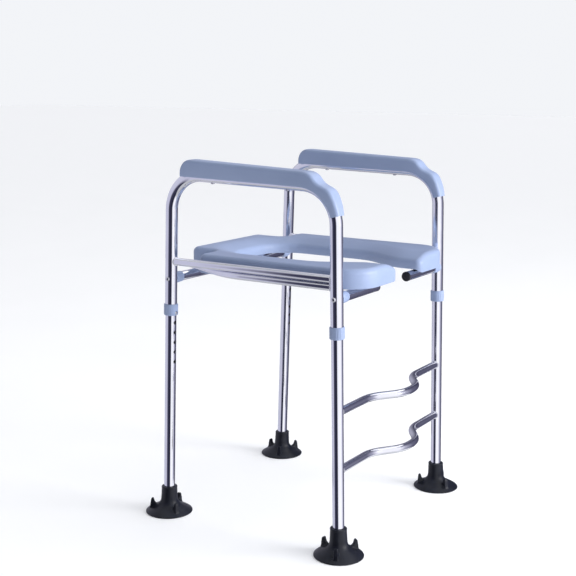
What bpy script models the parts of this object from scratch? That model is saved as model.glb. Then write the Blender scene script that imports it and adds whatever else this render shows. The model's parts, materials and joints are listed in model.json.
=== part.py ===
"""Toilet safety frame with a hinged commode seat: Blender 4.5, metres, +Z up.

Two steel side frames carry blue arm pads and are joined by a rear cross tube, side rails and two
front support arms. Four lower legs telescope in them and stand on suction feet. The front of the
object faces -Y, +X is the user's left, and the origin is on the floor under the middle.
"""

import math

import bmesh
import bpy
from mathutils import Matrix, Vector

# Overall sizes
LEG_X = 0.226              # leg axes, out from the middle
LEG_FOOT_Y = 0.2105        # leg axes where they meet the floor
LEG_SPLAY = 0.0257         # how far a leg leans inwards for each metre of height
CROSS_Z = 0.5115           # axis of the cross tube, the support arms and their bolts
ARM_REAR_Z = 0.729         # axis of the arm tube at its rear corner
ARM_DROP = 0.008           # and how much lower it is at its front corner
BEND_RADIUS = 0.075
GAP = 0.0003               # between pieces that rest on or in each other

# Tubes
FRAME_R = 0.0125
FRAME_WALL = 0.0007
LOWER_R = FRAME_R - FRAME_WALL - GAP
LOWER_WALL = 0.0010
CROSS_R = 0.0100
RAIL_R = 0.0080
BRACE_R = 0.0070
BAR_R = 0.0080
THIN_WALL = 0.0010         # wall of the cross tubes, rails and bars

# Collar at the lower end of each frame tube. Heights are along the leg, from the floor.
FRAME_END = CROSS_Z - 0.0745
COLLAR_WALL = 0.00195
COLLAR_R = FRAME_R + GAP + COLLAR_WALL
COLLAR_HEIGHT = 0.0240
COLLAR_LIP = 0.0030        # part of the collar below the frame tube
COLLAR_CHAMFER = 0.0010

# Lower leg and its adjustment
LOWER_END = 0.0180         # inside the foot
LOWER_TOP = CROSS_Z - 0.0165
BUTTON_Z = FRAME_END + 0.0025
HOLE_PITCH = 0.0210
HOLE_COUNT = 6             # the button's own hole, and those below it
LEG_TRAVEL = 3 * HOLE_PITCH

# Snap button and its spring
BUTTON_R = 0.0038
BUTTON_HOLE_R = BUTTON_R + 0.0004
BUTTON_PROUD = 0.0006      # past the collar
BUTTON_FLANGE_R = BUTTON_R + 0.0010
BUTTON_FLANGE = 0.0010
SPRING_WIDTH = 0.0060
SPRING_THICK = 0.0008
SPRING_DROP = 0.0300
SPRING_BEND_R = 0.0030
SPRING_KNEE_R = 0.0100

# Saddles, bolts and inserts that hold the cross tube and the support arms
SADDLE_WALL = 0.0009
SADDLE_END_R = CROSS_R + GAP + SADDLE_WALL
SADDLE_R = SADDLE_END_R + 0.0008
SADDLE_LENGTH = 0.0180
SADDLE_WEB = 0.0060
BOLT_R = 0.0030
BOLT_HOLE_R = BOLT_R + GAP
BOLT_HEAD_R = 0.0048
BOLT_HEAD = 0.0032
BOLT_HEAD_EDGE = 0.2       # share of the head's height that is its straight edge
INSERT_LENGTH = 0.0140
ARM_INNER_X = 0.0700       # free ends of the front support arms
PLUG_FLANGE = 0.0035
PLUG_SPIGOT = 0.0120

# Side rail, and the brace under it
BRACE_SPACING = RAIL_R + BRACE_R + GAP
BRACE_TO_SADDLE = 0.0017
RAIL_Z = CROSS_Z + SADDLE_R + BRACE_TO_SADDLE + BRACE_R + BRACE_SPACING
BRACE_END = 0.0037         # from the rear leg
BRACE_TURN_START = 0.0200  # it runs straight below the rail up to here
BRACE_TURN_REST = 0.0050   # and beside the rail for its last stretch
BRACE_TURN_STEPS = 6
BRACE_SIDE_ANGLE = math.radians(14)

# Armrest pads: heights are above the arm tube's axis
PAD_REAR = 0.0350          # from the rear corner of the arm tube
PAD_HALF_WIDTH = 0.0205
PAD_TOP = 0.0310           # at the rear, and in front
PAD_FRONT_TOP = 0.0265
PAD_SKIRT = -0.0030         # its side walls reach below the axis
PAD_CORNER = 0.0070
PAD_REAR_CORNER = 0.0190
PAD_REAR_TOP = 0.0153      # at its rear end
PAD_DIP_TOP = 0.0170
PAD_KNUCKLE_TOP = 0.0222
PAD_KNUCKLE_HALF_WIDTH = 0.0180
PAD_SLEEVE_TOP = 0.0150
PAD_SLEEVE_HALF_WIDTH = 0.0152
PAD_CLEARANCE = 0.0005
SCREW_SETBACKS = {"rear": 0.1015, "front": 0.1067}  # from the corners of the arm tube
SCREW_R = 0.0020
SCREW_HOLE_R = SCREW_R + GAP
SCREW_HEAD_R = 0.0040
SCREW_HEAD = 0.0022
SCREW_BITE = 0.0090        # into the pad above the tube

# Front bars
BAR_HEIGHTS = {"upper": 0.2890, "lower": 0.1720}
BAR_STRAIGHT_X = 0.0950
BAR_APEX_X = 0.0300
BAR_BOW = 0.0450           # how far the middle stands forward of the ends
BAR_BEND = 0.0850

# Seat board
CROSS_Y = LEG_FOOT_Y - LEG_SPLAY * CROSS_Z
SEAT_LIFT = 0.0030         # from the cross tube's top to the seat's lower edge
SEAT_BOTTOM = CROSS_Z + CROSS_R + SEAT_LIFT
SEAT_HEIGHT = 0.0390
SEAT_TOP = SEAT_BOTTOM + SEAT_HEIGHT
SEAT_SIDE_GAP = 0.0017     # to the brace beside the rail
SEAT_HALF_WIDTH = LEG_X - BRACE_SPACING * math.cos(BRACE_SIDE_ANGLE) - BRACE_R - SEAT_SIDE_GAP
SEAT_FRONT_Y = -CROSS_Y - 0.0399
SEAT_SHOULDER_Y = CROSS_Y - 0.0491
SEAT_REAR_Y = CROSS_Y + 0.0249
SHOULDER_WIDTH = 0.0755    # on each side of the tongue at the rear
TONGUE_HALF_WIDTH = SEAT_HALF_WIDTH - SHOULDER_WIDTH
SEAT_FRONT_CORNER = 0.0680
SEAT_REAR_CORNER = 0.0160
SEAT_NOTCH_R = 0.0220
SEAT_EDGE = 0.0090
SEAT_RIM = 0.0100          # skirt left round the hollow underside
SEAT_POCKET = 0.0070
OPENING_HALF_WIDTH = 0.1040
OPENING_REAR_Y = SEAT_SHOULDER_Y
OPENING_TAPER_Y = SEAT_FRONT_Y + 0.1520
OPENING_REAR_CORNER = 0.0700
OPENING_TAPER_R = 0.0900
SLOT_HALF_WIDTH = 0.0520
SLOT_REAR_Y = SEAT_FRONT_Y + 0.0620
SLOT_TAPER_R = 0.0800
SLOT_CORNER = 0.0120
DISH_DEPTH = 0.0130
DISH_WIDTH = 0.0500

# Hinge clips and rests under the seat
CLIP_X = TONGUE_HALF_WIDTH - 0.0370
CLIP_LENGTH = 0.0300
CLIP_WALL = 0.0032
CLIP_RUNNING_GAP = 0.00035
CLIP_MOUTH = 0.0150
CLIP_TONGUE = 0.0330       # how far the clip's flange reaches forward of the tube's axis
CLIP_FLANGE = 0.0050
CLIP_NECK = 0.0090         # half-depth of the block between the clip's ring and its flange
CLIP_SCREW_Y = 0.0240      # forward of the tube's axis
CLIP_SCREW_BITE = 0.0060
REST_X = SEAT_HALF_WIDTH - 0.0725
REST_SIZE = (0.0300, 0.0160)
REST_EDGE = 0.0010

# Suction feet
FOOT_HEIGHT = 0.0570
FOOT_WALL = 0.0047
FOOT_TOP_R = LOWER_R + GAP + FOOT_WALL
FOOT_NECK_R = FOOT_TOP_R + 0.0015
FOOT_NECK_Z = 0.0250
FOOT_EDGE = 0.0010
CUP_R = 0.0500
CUP_RIM = 0.0050
CUP_HOLLOW = 0.0080
TAB_RADIUS = 0.0345
TAB_TOP = 0.0265
TAB_WIDTH = 0.0110
TAB_THICK = 0.0060
TAB_TIP_WIDTH = 0.0050
TAB_TIP_THICK = 0.0042
TAB_TIP_LEAN = 0.0011      # towards the foot's axis
TAB_COUNT = 3
TAB_ANGLES = {("right", "rear"): 2, ("left", "front"): 2, ("right", "front"): 82, ("left", "rear"): 82}

TUBE_SIDES = 18
SMALL_SIDES = 14
HOLE_SIDES = 12
TURN_STEPS = 24
BEND_STEPS = 7
PAD_BEND_STEPS = 6         # of the bend's steps, those that the pad's sleeve covers

SIDES = {"right": -1, "left": 1}
ENDS = {"rear": 1, "front": -1}
LEAN = math.atan(LEG_SPLAY)
X_AXIS, Y_AXIS, Z_AXIS = Vector((1, 0, 0)), Vector((0, 1, 0)), Vector((0, 0, 1))

CHROME = ("chrome", (0.78, 0.78, 0.82), 0.12, 1.0)
STEEL = ("steel", (0.62, 0.62, 0.65), 0.25, 1.0)
BLUE = ("blue_plastic", (0.30, 0.39, 0.61), 0.40, 0.0)
BLACK = ("black_rubber", (0.018, 0.020, 0.030), 0.55, 0.0)
BLACK_PLASTIC = ("black_plastic", (0.015, 0.015, 0.020), 0.35, 0.0)


def clear_scene():
    for obj in list(bpy.data.objects):
        bpy.data.objects.remove(obj, do_unlink=True)


def new_collection(name):
    collection = bpy.data.collections.new(name)
    bpy.context.scene.collection.children.link(collection)
    return collection


def material(look):
    name, colour, roughness, metallic = look
    found = bpy.data.materials.get(name)
    if found:
        return found
    made = bpy.data.materials.new(name)
    made.use_nodes = True
    shader = made.node_tree.nodes["Principled BSDF"]
    shader.inputs["Base Color"].default_value = (*colour, 1.0)
    shader.inputs["Roughness"].default_value = roughness
    shader.inputs["Metallic"].default_value = metallic
    made.diffuse_color = (*colour, 1.0)
    return made


def add_object(name, mesh, look, parent=None):
    """Puts a mesh in the model as one sub-part, or in the cutters where it has no look."""
    obj = bpy.data.objects.new(name, mesh)
    if look is None:
        cutters.objects.link(obj)
        obj.hide_render = True
        obj.display_type = "WIRE"
    else:
        parts.objects.link(obj)
        mesh.materials.append(material(look))
        mesh.shade_smooth()
        mesh.set_sharp_from_angle(angle=math.radians(35))
    obj.parent = parent
    return obj


def add_empty(name, location, rotation=(0, 0, 0), parent=None):
    empty = bpy.data.objects.new(name, None)
    parts.objects.link(empty)
    empty.location = location
    empty.rotation_euler = rotation
    empty.parent = parent
    return empty


def mesh_of(bm, name):
    mesh = bpy.data.meshes.new(name)
    bmesh.ops.recalc_face_normals(bm, faces=bm.faces)
    bm.to_mesh(mesh)
    bm.free()
    return mesh


def cylinder_mesh(name, radius, start, end, axis=Z_AXIS, offset=(0, 0, 0), sides=TUBE_SIDES, caps=True):
    """A cylinder along an axis, from start to end, through the point offset."""
    bm = bmesh.new()
    turn = Z_AXIS.rotation_difference(axis).to_matrix().to_4x4()
    place = Matrix.Translation(offset) @ turn @ Matrix.Translation((0, 0, (start + end) / 2))
    bmesh.ops.create_cone(
        bm, cap_ends=caps, segments=sides, radius1=radius, radius2=radius, depth=end - start, matrix=place
    )
    mesh = bpy.data.meshes.new(name)
    bm.to_mesh(mesh)
    bm.free()
    return mesh


def box_mesh(name, low, high):
    bm = bmesh.new()
    size = Vector(high) - Vector(low)
    place = Matrix.Translation((Vector(low) + Vector(high)) / 2) @ Matrix.Diagonal((*size, 1))
    bmesh.ops.create_cube(bm, size=1, matrix=place)
    return mesh_of(bm, name)


def turned_mesh(name, profile, steps, axis=Z_AXIS, closed=False):
    """A profile of (radius, height) points, run down its outer side, turned about an axis."""
    bm = bmesh.new()
    turn = Z_AXIS.rotation_difference(axis).to_matrix()
    points = [bm.verts.new(Vector((radius, 0, height))) for radius, height in profile]
    edges = [bm.edges.new(pair) for pair in zip(points, points[1:])]
    if closed:
        edges.append(bm.edges.new((points[-1], points[0])))
    bmesh.ops.spin(
        bm, geom=points + edges, cent=(0, 0, 0), axis=Z_AXIS, angle=2 * math.pi, steps=steps, use_merge=True
    )
    bmesh.ops.remove_doubles(bm, verts=bm.verts, dist=0.00001)
    bmesh.ops.rotate(bm, verts=bm.verts, matrix=turn)
    return mesh_of(bm, name)


def loft_mesh(name, loops):
    """A closed body through loops of points, which all have the same count."""
    bm = bmesh.new()
    rings = [[bm.verts.new(point) for point in loop] for loop in loops]
    for ring, following in zip(rings, rings[1:]):
        for i in range(len(ring)):
            j = (i + 1) % len(ring)
            bm.faces.new((ring[i], ring[j], following[j], following[i]))
    bm.faces.new(rings[0])
    bm.faces.new(rings[-1])
    return mesh_of(bm, name)


def curve_mesh(name, curve):
    """The mesh that a curve makes, with its caps welded."""
    obj = bpy.data.objects.new(name, curve)
    bpy.context.scene.collection.objects.link(obj)
    bpy.context.view_layer.update()
    graph = bpy.context.evaluated_depsgraph_get()
    mesh = bpy.data.meshes.new_from_object(obj.evaluated_get(graph))
    bpy.data.objects.remove(obj, do_unlink=True)
    bpy.data.curves.remove(curve)
    bm = bmesh.new()
    bm.from_mesh(mesh)
    bmesh.ops.remove_doubles(bm, verts=bm.verts, dist=0.00001)
    bm.to_mesh(mesh)
    bm.free()
    mesh.materials.clear()
    return mesh


def tube_mesh(name, points, radius, sides):
    """The outer surface of a tube along points, open at both ends."""
    curve = bpy.data.curves.new(name, "CURVE")
    curve.dimensions = "3D"
    curve.bevel_depth = radius
    curve.bevel_resolution = (sides - 4) // 2
    spline = curve.splines.new("POLY")
    spline.points.add(len(points) - 1)
    for place, point in zip(spline.points, points):
        place.co = (*point, 1)
    return curve_mesh(name, curve)


def plate_mesh(name, outline, low, high, edge=0.0):
    """A flat outline as a plate between two heights, with its edges rounded."""
    curve = bpy.data.curves.new(name, "CURVE")
    curve.dimensions = "2D"
    curve.fill_mode = "BOTH"
    curve.extrude = (high - low) / 2 - edge
    curve.bevel_depth = edge
    curve.bevel_resolution = 2
    curve.offset = -edge
    spline = curve.splines.new("POLY")
    spline.points.add(len(outline) - 1)
    for place, point in zip(spline.points, outline):
        place.co = (*point, 0, 1)
    spline.use_cyclic_u = True
    mesh = curve_mesh(name, curve)
    mesh.transform(Matrix.Translation((0, 0, (low + high) / 2)))
    return mesh


def hollow(obj, wall):
    solidify = obj.modifiers.new("Wall", "SOLIDIFY")
    solidify.thickness = wall
    solidify.offset = -1
    return obj


def boolean(obj, other, operation="DIFFERENCE"):
    modifier = obj.modifiers.new(operation.title(), "BOOLEAN")
    modifier.object = other
    modifier.operation = operation
    return obj


def filleted(corners, radii, steps):
    """A polyline with its corners rounded. A radius of 0 keeps the corner."""
    points = []
    for i, (corner, radius) in enumerate(zip(corners, radii)):
        corner = Vector(corner)
        if radius == 0:
            points.append(corner)
            continue
        before = (Vector(corners[i - 1]) - corner).normalized()
        after = (Vector(corners[(i + 1) % len(corners)]) - corner).normalized()
        half = before.angle(after) / 2
        centre = corner + (before + after).normalized() * radius / math.sin(half)
        start = corner + before * radius / math.tan(half) - centre
        end = corner + after * radius / math.tan(half) - centre
        whole = start.angle(end)
        for step in range(steps + 1):
            share = step / steps
            arc = start * math.sin((1 - share) * whole) + end * math.sin(share * whole)
            points.append(centre + arc / math.sin(whole))
    return points


def leg_y(z, end):
    """How far along Y a leg's axis is at this height above the floor."""
    return end * (LEG_FOOT_Y - LEG_SPLAY * z)


def along_leg(side, end, height):
    """The point of a leg's axis at this height along the leg."""
    return Vector((
        side * LEG_X, end * (LEG_FOOT_Y - math.sin(LEAN) * height), math.cos(LEAN) * height
    ))


def cross_point(side, end):
    """Where the axis of the cross tube or support arm meets the leg's axis."""
    return Vector((side * LEG_X, leg_y(CROSS_Z, end), CROSS_Z))


def arm_corner(end):
    """Y and Z of a corner of the arm tube, before it is rounded."""
    z = ARM_REAR_Z if end > 0 else ARM_REAR_Z - ARM_DROP
    return leg_y(z, end), z


def arm_path(side):
    """The side frame's centreline, from the rear leg's end over the arm to the front leg's end."""
    x = side * LEG_X
    corners = [
        along_leg(side, 1, FRAME_END),
        Vector((x, *arm_corner(1))),
        Vector((x, *arm_corner(-1))),
        along_leg(side, -1, FRAME_END),
    ]
    return filleted(corners, (0, BEND_RADIUS, BEND_RADIUS, 0), BEND_STEPS)


def add_leg_frames():
    """An empty on each leg's axis at the floor, with its Z up the leg."""
    frames = {}
    for side_name, side in SIDES.items():
        for end_name, end in ENDS.items():
            name = f"{end_name}_{side_name}"
            place = (side * LEG_X, end * LEG_FOOT_Y, 0)
            frames[side_name, end_name] = add_empty(f"{name}_leg_axis", place, (end * LEAN, 0, 0))
    return frames


def add_leg_cutters(axis, name):
    """Cutters for what meets the frame tube, and for what meets the lower leg."""
    upper = cylinder_mesh(f"{name}_frame_leg_cut", FRAME_R + GAP, FRAME_END, ARM_REAR_Z - BEND_RADIUS)
    lower = cylinder_mesh(f"{name}_lower_leg_cut", LOWER_R + GAP, LOWER_END, FRAME_END)
    return (
        add_object(f"{name}_frame_leg_cut", upper, None, axis),
        add_object(f"{name}_lower_leg_cut", lower, None, axis),
    )


def add_bolt_cutter(name, side, end):
    reach = FRAME_R + SADDLE_LENGTH + 0.01
    mesh = cylinder_mesh(
        f"{name}_bolt_cut", BOLT_HOLE_R, -reach, reach, X_AXIS, cross_point(side, end), SMALL_SIDES
    )
    return add_object(f"{name}_bolt_cut", mesh, None)


def add_button_cutter(axis, name, end):
    """The round hole that the snap button comes out through, facing the other leg of the side."""
    outward = -end * Y_AXIS
    cut = f"{name}_button_cut"
    mesh = cylinder_mesh(
        cut, BUTTON_HOLE_R, LOWER_R / 2, COLLAR_R * 1.2, outward, (0, 0, BUTTON_Z), HOLE_SIDES
    )
    return add_object(cut, mesh, None, axis)


def add_frame_tube(side_name, side, cutters_for_it):
    name = f"{side_name}_frame_tube"
    obj = add_object(name, tube_mesh(name, arm_path(side), FRAME_R, TUBE_SIDES), CHROME)
    hollow(obj, FRAME_WALL)
    for cutter in cutters_for_it:
        boolean(obj, cutter)
    return obj


def add_collar(axis, name, button_cutter):
    low, high = FRAME_END - COLLAR_LIP, FRAME_END - COLLAR_LIP + COLLAR_HEIGHT
    inner, neck = FRAME_R + GAP, LOWER_R + GAP
    profile = [
        (inner, high),
        (COLLAR_R - COLLAR_CHAMFER, high),
        (COLLAR_R, high - COLLAR_CHAMFER),
        (COLLAR_R, low + COLLAR_CHAMFER),
        (COLLAR_R - COLLAR_CHAMFER, low),
        (neck, low),
        (neck, FRAME_END - GAP),
        (inner, FRAME_END - GAP),
    ]
    mesh = turned_mesh(f"{name}_collar", profile, TUBE_SIDES, closed=True)
    return boolean(add_object(f"{name}_collar", mesh, BLUE, axis), button_cutter)


def add_lower_leg(axis, name, end):
    """The telescoping leg, with its adjustment holes and, above them, slots that pass the cross bolt."""
    mesh = cylinder_mesh(f"{name}_lower_leg", LOWER_R, LOWER_END, LOWER_TOP, caps=False)
    leg = hollow(add_object(f"{name}_lower_leg", mesh, CHROME, axis), LOWER_WALL)
    bm = bmesh.new()
    for hole in range(HOLE_COUNT):
        height = BUTTON_Z - hole * HOLE_PITCH
        hole_mesh = cylinder_mesh(
            "hole", BUTTON_HOLE_R, LOWER_R / 2, LOWER_R * 1.5, -end * Y_AXIS, (0, 0, height), HOLE_SIDES
        )
        bm.from_mesh(hole_mesh)
        bpy.data.meshes.remove(hole_mesh)
    holes = add_object(f"{name}_hole_cut", mesh_of(bm, f"{name}_hole_cut"), None, axis)
    slot_low = CROSS_Z - BOLT_HOLE_R - GAP - LEG_TRAVEL
    slot_half = BOLT_HOLE_R + GAP
    reach = LOWER_R * 1.2
    slot = box_mesh(
        f"{name}_slot_cut", (-reach, -slot_half, slot_low), (reach, slot_half, CROSS_Z)
    )
    boolean(leg, holes)
    return boolean(leg, add_object(f"{name}_slot_cut", slot, None, axis))


def add_snap_button(axis, name, end):
    """The button on its press axis, with a flange that stays inside the lower leg."""
    inward = LOWER_R - LOWER_WALL
    flange_top = math.sqrt(inward**2 - BUTTON_FLANGE_R**2) - GAP
    tip = COLLAR_R + BUTTON_PROUD
    dome = BUTTON_R / 2
    profile = [
        (0, tip),
        (BUTTON_R * 0.6, tip - dome * 0.2),
        (BUTTON_R, tip - dome),
        (BUTTON_R, flange_top),
        (BUTTON_FLANGE_R, flange_top),
        (BUTTON_FLANGE_R, flange_top - BUTTON_FLANGE),
        (0, flange_top - BUTTON_FLANGE),
    ]
    press = add_empty(f"{name}_button_axis", (0, 0, BUTTON_Z), parent=axis)
    mesh = turned_mesh(f"{name}_snap_button", profile, HOLE_SIDES, -end * Y_AXIS)
    add_object(f"{name}_snap_button", mesh, STEEL, press)
    return flange_top - BUTTON_FLANGE - GAP


def add_button_spring(axis, name, end, button_back):
    """A leaf spring folded to a V, from the back of the button down and up the opposite wall."""
    outward = -end
    back_wall = math.sqrt((LOWER_R - LOWER_WALL)**2 - (SPRING_WIDTH / 2)**2) - GAP
    half = SPRING_THICK / 2
    top = BUTTON_Z + BUTTON_FLANGE_R
    line = filleted(
        [
            (0, button_back - half, top),
            (0, button_back - half, BUTTON_Z - BUTTON_FLANGE_R),
            (0, SPRING_BEND_R / 2, BUTTON_Z - SPRING_DROP),
            (0, half - back_wall, BUTTON_Z - SPRING_DROP * 0.6),
            (0, half - back_wall, top),
        ],
        (0, SPRING_KNEE_R, SPRING_BEND_R, SPRING_KNEE_R, 0),
        3,
    )
    loops = []
    for i, point in enumerate(line):
        run = (line[min(i + 1, len(line) - 1)] - line[max(i - 1, 0)]).normalized()
        across = run.cross(X_AXIS) * half
        wide = X_AXIS * SPRING_WIDTH / 2
        loop = (point - across - wide, point + across - wide, point + across + wide, point - across + wide)
        loops.append([Vector((c.x, c.y * outward, c.z)) for c in loop])
    add_object(f"{name}_button_spring", loft_mesh(f"{name}_button_spring", loops), STEEL, axis)


def add_foot(axis, name, place, tab_angle):
    """A suction foot: a turned cup with a socket for the leg and three pull tabs."""
    dome = [(CUP_R - CUP_RIM, 0), (CUP_R * 0.55, CUP_HOLLOW * 0.65), (0, CUP_HOLLOW)]
    profile = [
        (0, FOOT_HEIGHT),
        (FOOT_TOP_R - FOOT_EDGE, FOOT_HEIGHT),
        (FOOT_TOP_R, FOOT_HEIGHT - FOOT_EDGE),
        (FOOT_NECK_R, FOOT_NECK_Z),
        (FOOT_NECK_R * 1.25, FOOT_NECK_Z * 0.74),
        (CUP_R * 0.64, FOOT_NECK_Z * 0.46),
        (CUP_R * 0.86, FOOT_NECK_Z * 0.22),
        (CUP_R, 0.0022),
        (CUP_R + 0.0005, 0.0008),
        (CUP_R - 0.0004, 0),
    ]
    centre = add_empty(f"{name}_foot_centre", place)
    mesh = turned_mesh(f"{name}_suction_foot", profile + dome, TURN_STEPS)
    foot = add_object(f"{name}_suction_foot", mesh, BLACK, centre)
    bm = bmesh.new()
    half, thick = TAB_WIDTH / 2, TAB_THICK / 2
    for turn in range(TAB_COUNT):
        tab = box_mesh("tab", (-half, -thick, CUP_HOLLOW), (half, thick, TAB_TOP))
        for corner in tab.vertices:
            if corner.co.z > CUP_HOLLOW:
                corner.co.x = corner.co.x * TAB_TIP_WIDTH / TAB_WIDTH - TAB_TIP_LEAN
                corner.co.y *= TAB_TIP_THICK / TAB_THICK
        tab.transform(Matrix.Translation((TAB_RADIUS, 0, 0)))
        tab.transform(Matrix.Rotation(math.radians(tab_angle + 360 / TAB_COUNT * turn), 4, "Z"))
        bm.from_mesh(tab)
        bpy.data.meshes.remove(tab)
    tabs = add_object(f"{name}_tab_shape", mesh_of(bm, f"{name}_tab_shape"), None, centre)
    socket = cylinder_mesh(f"{name}_socket_cut", LOWER_R + GAP, LOWER_END - GAP, FOOT_HEIGHT + 0.01)
    boolean(foot, tabs, "UNION")
    return boolean(foot, add_object(f"{name}_socket_cut", socket, None, axis))


def add_saddle(name, side, end, leg_cutter, bolt_cutter):
    """The moulded seat between a leg and the end of a cross tube, which sits in its socket."""
    inward = -side * X_AXIS
    start, web, length = FRAME_R * 0.7, FRAME_R + SADDLE_WEB, FRAME_R + SADDLE_LENGTH
    socket = CROSS_R + GAP
    profile = [
        (0, web),
        (socket, web),
        (socket, length),
        (SADDLE_END_R, length),
        (SADDLE_R, FRAME_R + SADDLE_WEB * 0.5),
        (SADDLE_R, start),
        (0, start),
    ]
    mesh = turned_mesh(f"{name}_saddle", profile, SMALL_SIDES, inward)
    mesh.transform(Matrix.Translation(cross_point(side, end)))
    saddle = add_object(f"{name}_saddle", mesh, BLUE)
    boolean(saddle, leg_cutter)
    return boolean(saddle, bolt_cutter)


def add_cross_bolt(name, side, end):
    """A domed bolt from the outside of the leg into the insert of the cross tube."""
    outward = side * X_AXIS
    under_head = FRAME_R + GAP
    tip = -(FRAME_R + SADDLE_WEB + INSERT_LENGTH)
    profile = [(0, under_head + BOLT_HEAD)]
    for step in (1, 2, 3):
        angle = math.radians(30 * step)
        share = BOLT_HEAD_EDGE + (1 - BOLT_HEAD_EDGE) * math.cos(angle)
        profile.append((BOLT_HEAD_R * math.sin(angle), under_head + BOLT_HEAD * share))
    profile += [(BOLT_HEAD_R, under_head), (BOLT_R, under_head), (BOLT_R, tip), (0, tip)]
    mesh = turned_mesh(f"{name}_cross_bolt", profile, HOLE_SIDES, outward)
    mesh.transform(Matrix.Translation(cross_point(side, end)))
    add_object(f"{name}_cross_bolt", mesh, STEEL)


def add_insert(name, side, end):
    """The threaded insert that the bolt holds, pressed into the end of the cross tube."""
    start = FRAME_R + SADDLE_WEB + GAP
    outer, bore = CROSS_R - THIN_WALL - GAP, BOLT_HOLE_R
    profile = [(bore, start + INSERT_LENGTH), (outer, start + INSERT_LENGTH), (outer, start), (bore, start)]
    mesh = turned_mesh(f"{name}_tube_insert", profile, SMALL_SIDES, -side * X_AXIS, closed=True)
    mesh.transform(Matrix.Translation(cross_point(side, end)))
    add_object(f"{name}_tube_insert", mesh, STEEL)


def add_tube(name, line, radius, sides):
    """A thin chromed tube along a line, open at both ends."""
    return hollow(add_object(name, tube_mesh(name, line, radius, sides), CHROME), THIN_WALL)


def add_cross_tubes():
    """The rear tube from saddle to saddle, and a support arm with an end plug on each side in front."""
    end_x = LEG_X - FRAME_R - SADDLE_WEB - GAP
    line = [(-end_x, CROSS_Y, CROSS_Z), (end_x, CROSS_Y, CROSS_Z)]
    add_tube("rear_cross_tube", line, CROSS_R, TUBE_SIDES)
    spigot = CROSS_R - THIN_WALL - GAP
    for side_name, side in SIDES.items():
        line = [(side * ARM_INNER_X, -CROSS_Y, CROSS_Z), (side * end_x, -CROSS_Y, CROSS_Z)]
        add_tube(f"{side_name}_front_support_arm", line, CROSS_R, TUBE_SIDES)
        profile = [
            (0, GAP + PLUG_FLANGE),
            (CROSS_R * 0.8, GAP + PLUG_FLANGE),
            (CROSS_R + GAP, GAP + PLUG_FLANGE * 0.6),
            (CROSS_R + GAP, GAP),
            (spigot, GAP),
            (spigot, -PLUG_SPIGOT),
            (0, -PLUG_SPIGOT),
        ]
        mesh = turned_mesh(f"{side_name}_arm_end_plug", profile, SMALL_SIDES, -side * X_AXIS)
        mesh.transform(Matrix.Translation((side * ARM_INNER_X, -CROSS_Y, CROSS_Z)))
        add_object(f"{side_name}_arm_end_plug", mesh, BLACK_PLASTIC)


def brace_path(side):
    """The brace runs below the side rail and, towards the rear, winds round to its inner side."""
    end_y = leg_y(RAIL_Z, 1) - FRAME_R - BRACE_END
    turn = end_y - BRACE_TURN_REST - BRACE_TURN_START
    shares = [step / BRACE_TURN_STEPS for step in range(BRACE_TURN_STEPS + 1)]
    stations = [(leg_y(RAIL_Z, -1), 0)] + [(BRACE_TURN_START + turn * s, s) for s in shares] + [(end_y, 1)]
    points = []
    for y, share in stations:
        smooth = share * share * (3 - 2 * share)
        angle = math.pi / 2 + (BRACE_SIDE_ANGLE - math.pi / 2) * smooth
        x = side * (LEG_X - BRACE_SPACING * math.cos(angle))
        points.append((x, y, RAIL_Z - BRACE_SPACING * math.sin(angle)))
    return points


def add_side_rails(leg_cutters):
    for side_name, side in SIDES.items():
        x = side * LEG_X
        line = [(x, leg_y(RAIL_Z, -1), RAIL_Z), (x, leg_y(RAIL_Z, 1), RAIL_Z)]
        rail = add_tube(f"{side_name}_side_rail", line, RAIL_R, SMALL_SIDES)
        brace = add_tube(f"{side_name}_rail_brace", brace_path(side), BRACE_R, SMALL_SIDES)
        boolean(rail, leg_cutters[side_name, "rear"])
        boolean(rail, leg_cutters[side_name, "front"])
        boolean(brace, leg_cutters[side_name, "front"])


def add_front_bars(lower_cutters):
    """Two bars between the front lower legs, bowed forward in the middle."""
    for level, height in BAR_HEIGHTS.items():
        y = leg_y(height, -1)
        corners = [
            (-LEG_X, y, height), (-BAR_STRAIGHT_X, y, height), (-BAR_APEX_X, y - BAR_BOW, height),
            (BAR_APEX_X, y - BAR_BOW, height), (BAR_STRAIGHT_X, y, height), (LEG_X, y, height),
        ]
        line = filleted(corners, (0, BAR_BEND, BAR_BEND, BAR_BEND, BAR_BEND, 0), 3)
        bar = add_tube(f"{level}_front_bar", line, BAR_R, SMALL_SIDES)
        for side_name in SIDES:
            boolean(bar, lower_cutters[side_name, "front"])


def pad_section(centre, up, width, top):
    """One cross-section of the pad: a rounded block with a channel for the tube below."""
    channel = FRAME_R + PAD_CLEARANCE
    skirt = min(PAD_SKIRT, top * 0.5)
    corner = min(PAD_CORNER, (top - skirt) * 0.45)
    start = math.asin(skirt / channel)
    shape = [(-width, skirt), (-width, top - corner)]
    for angle in (135, 90 + 22.5):
        shape.append((
            -width + corner + corner * math.cos(math.radians(angle)),
            top - corner + corner * math.sin(math.radians(angle)),
        ))
    shape.append((-width + corner, top))
    shape += [(-x, z) for x, z in reversed(shape)]
    steps = 8
    for step in range(steps + 1):
        angle = start + (math.pi - 2 * start) * step / steps
        shape.append((channel * math.cos(angle), channel * math.sin(angle)))
    return [centre + X_AXIS * x + up * z for x, z in shape]


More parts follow.
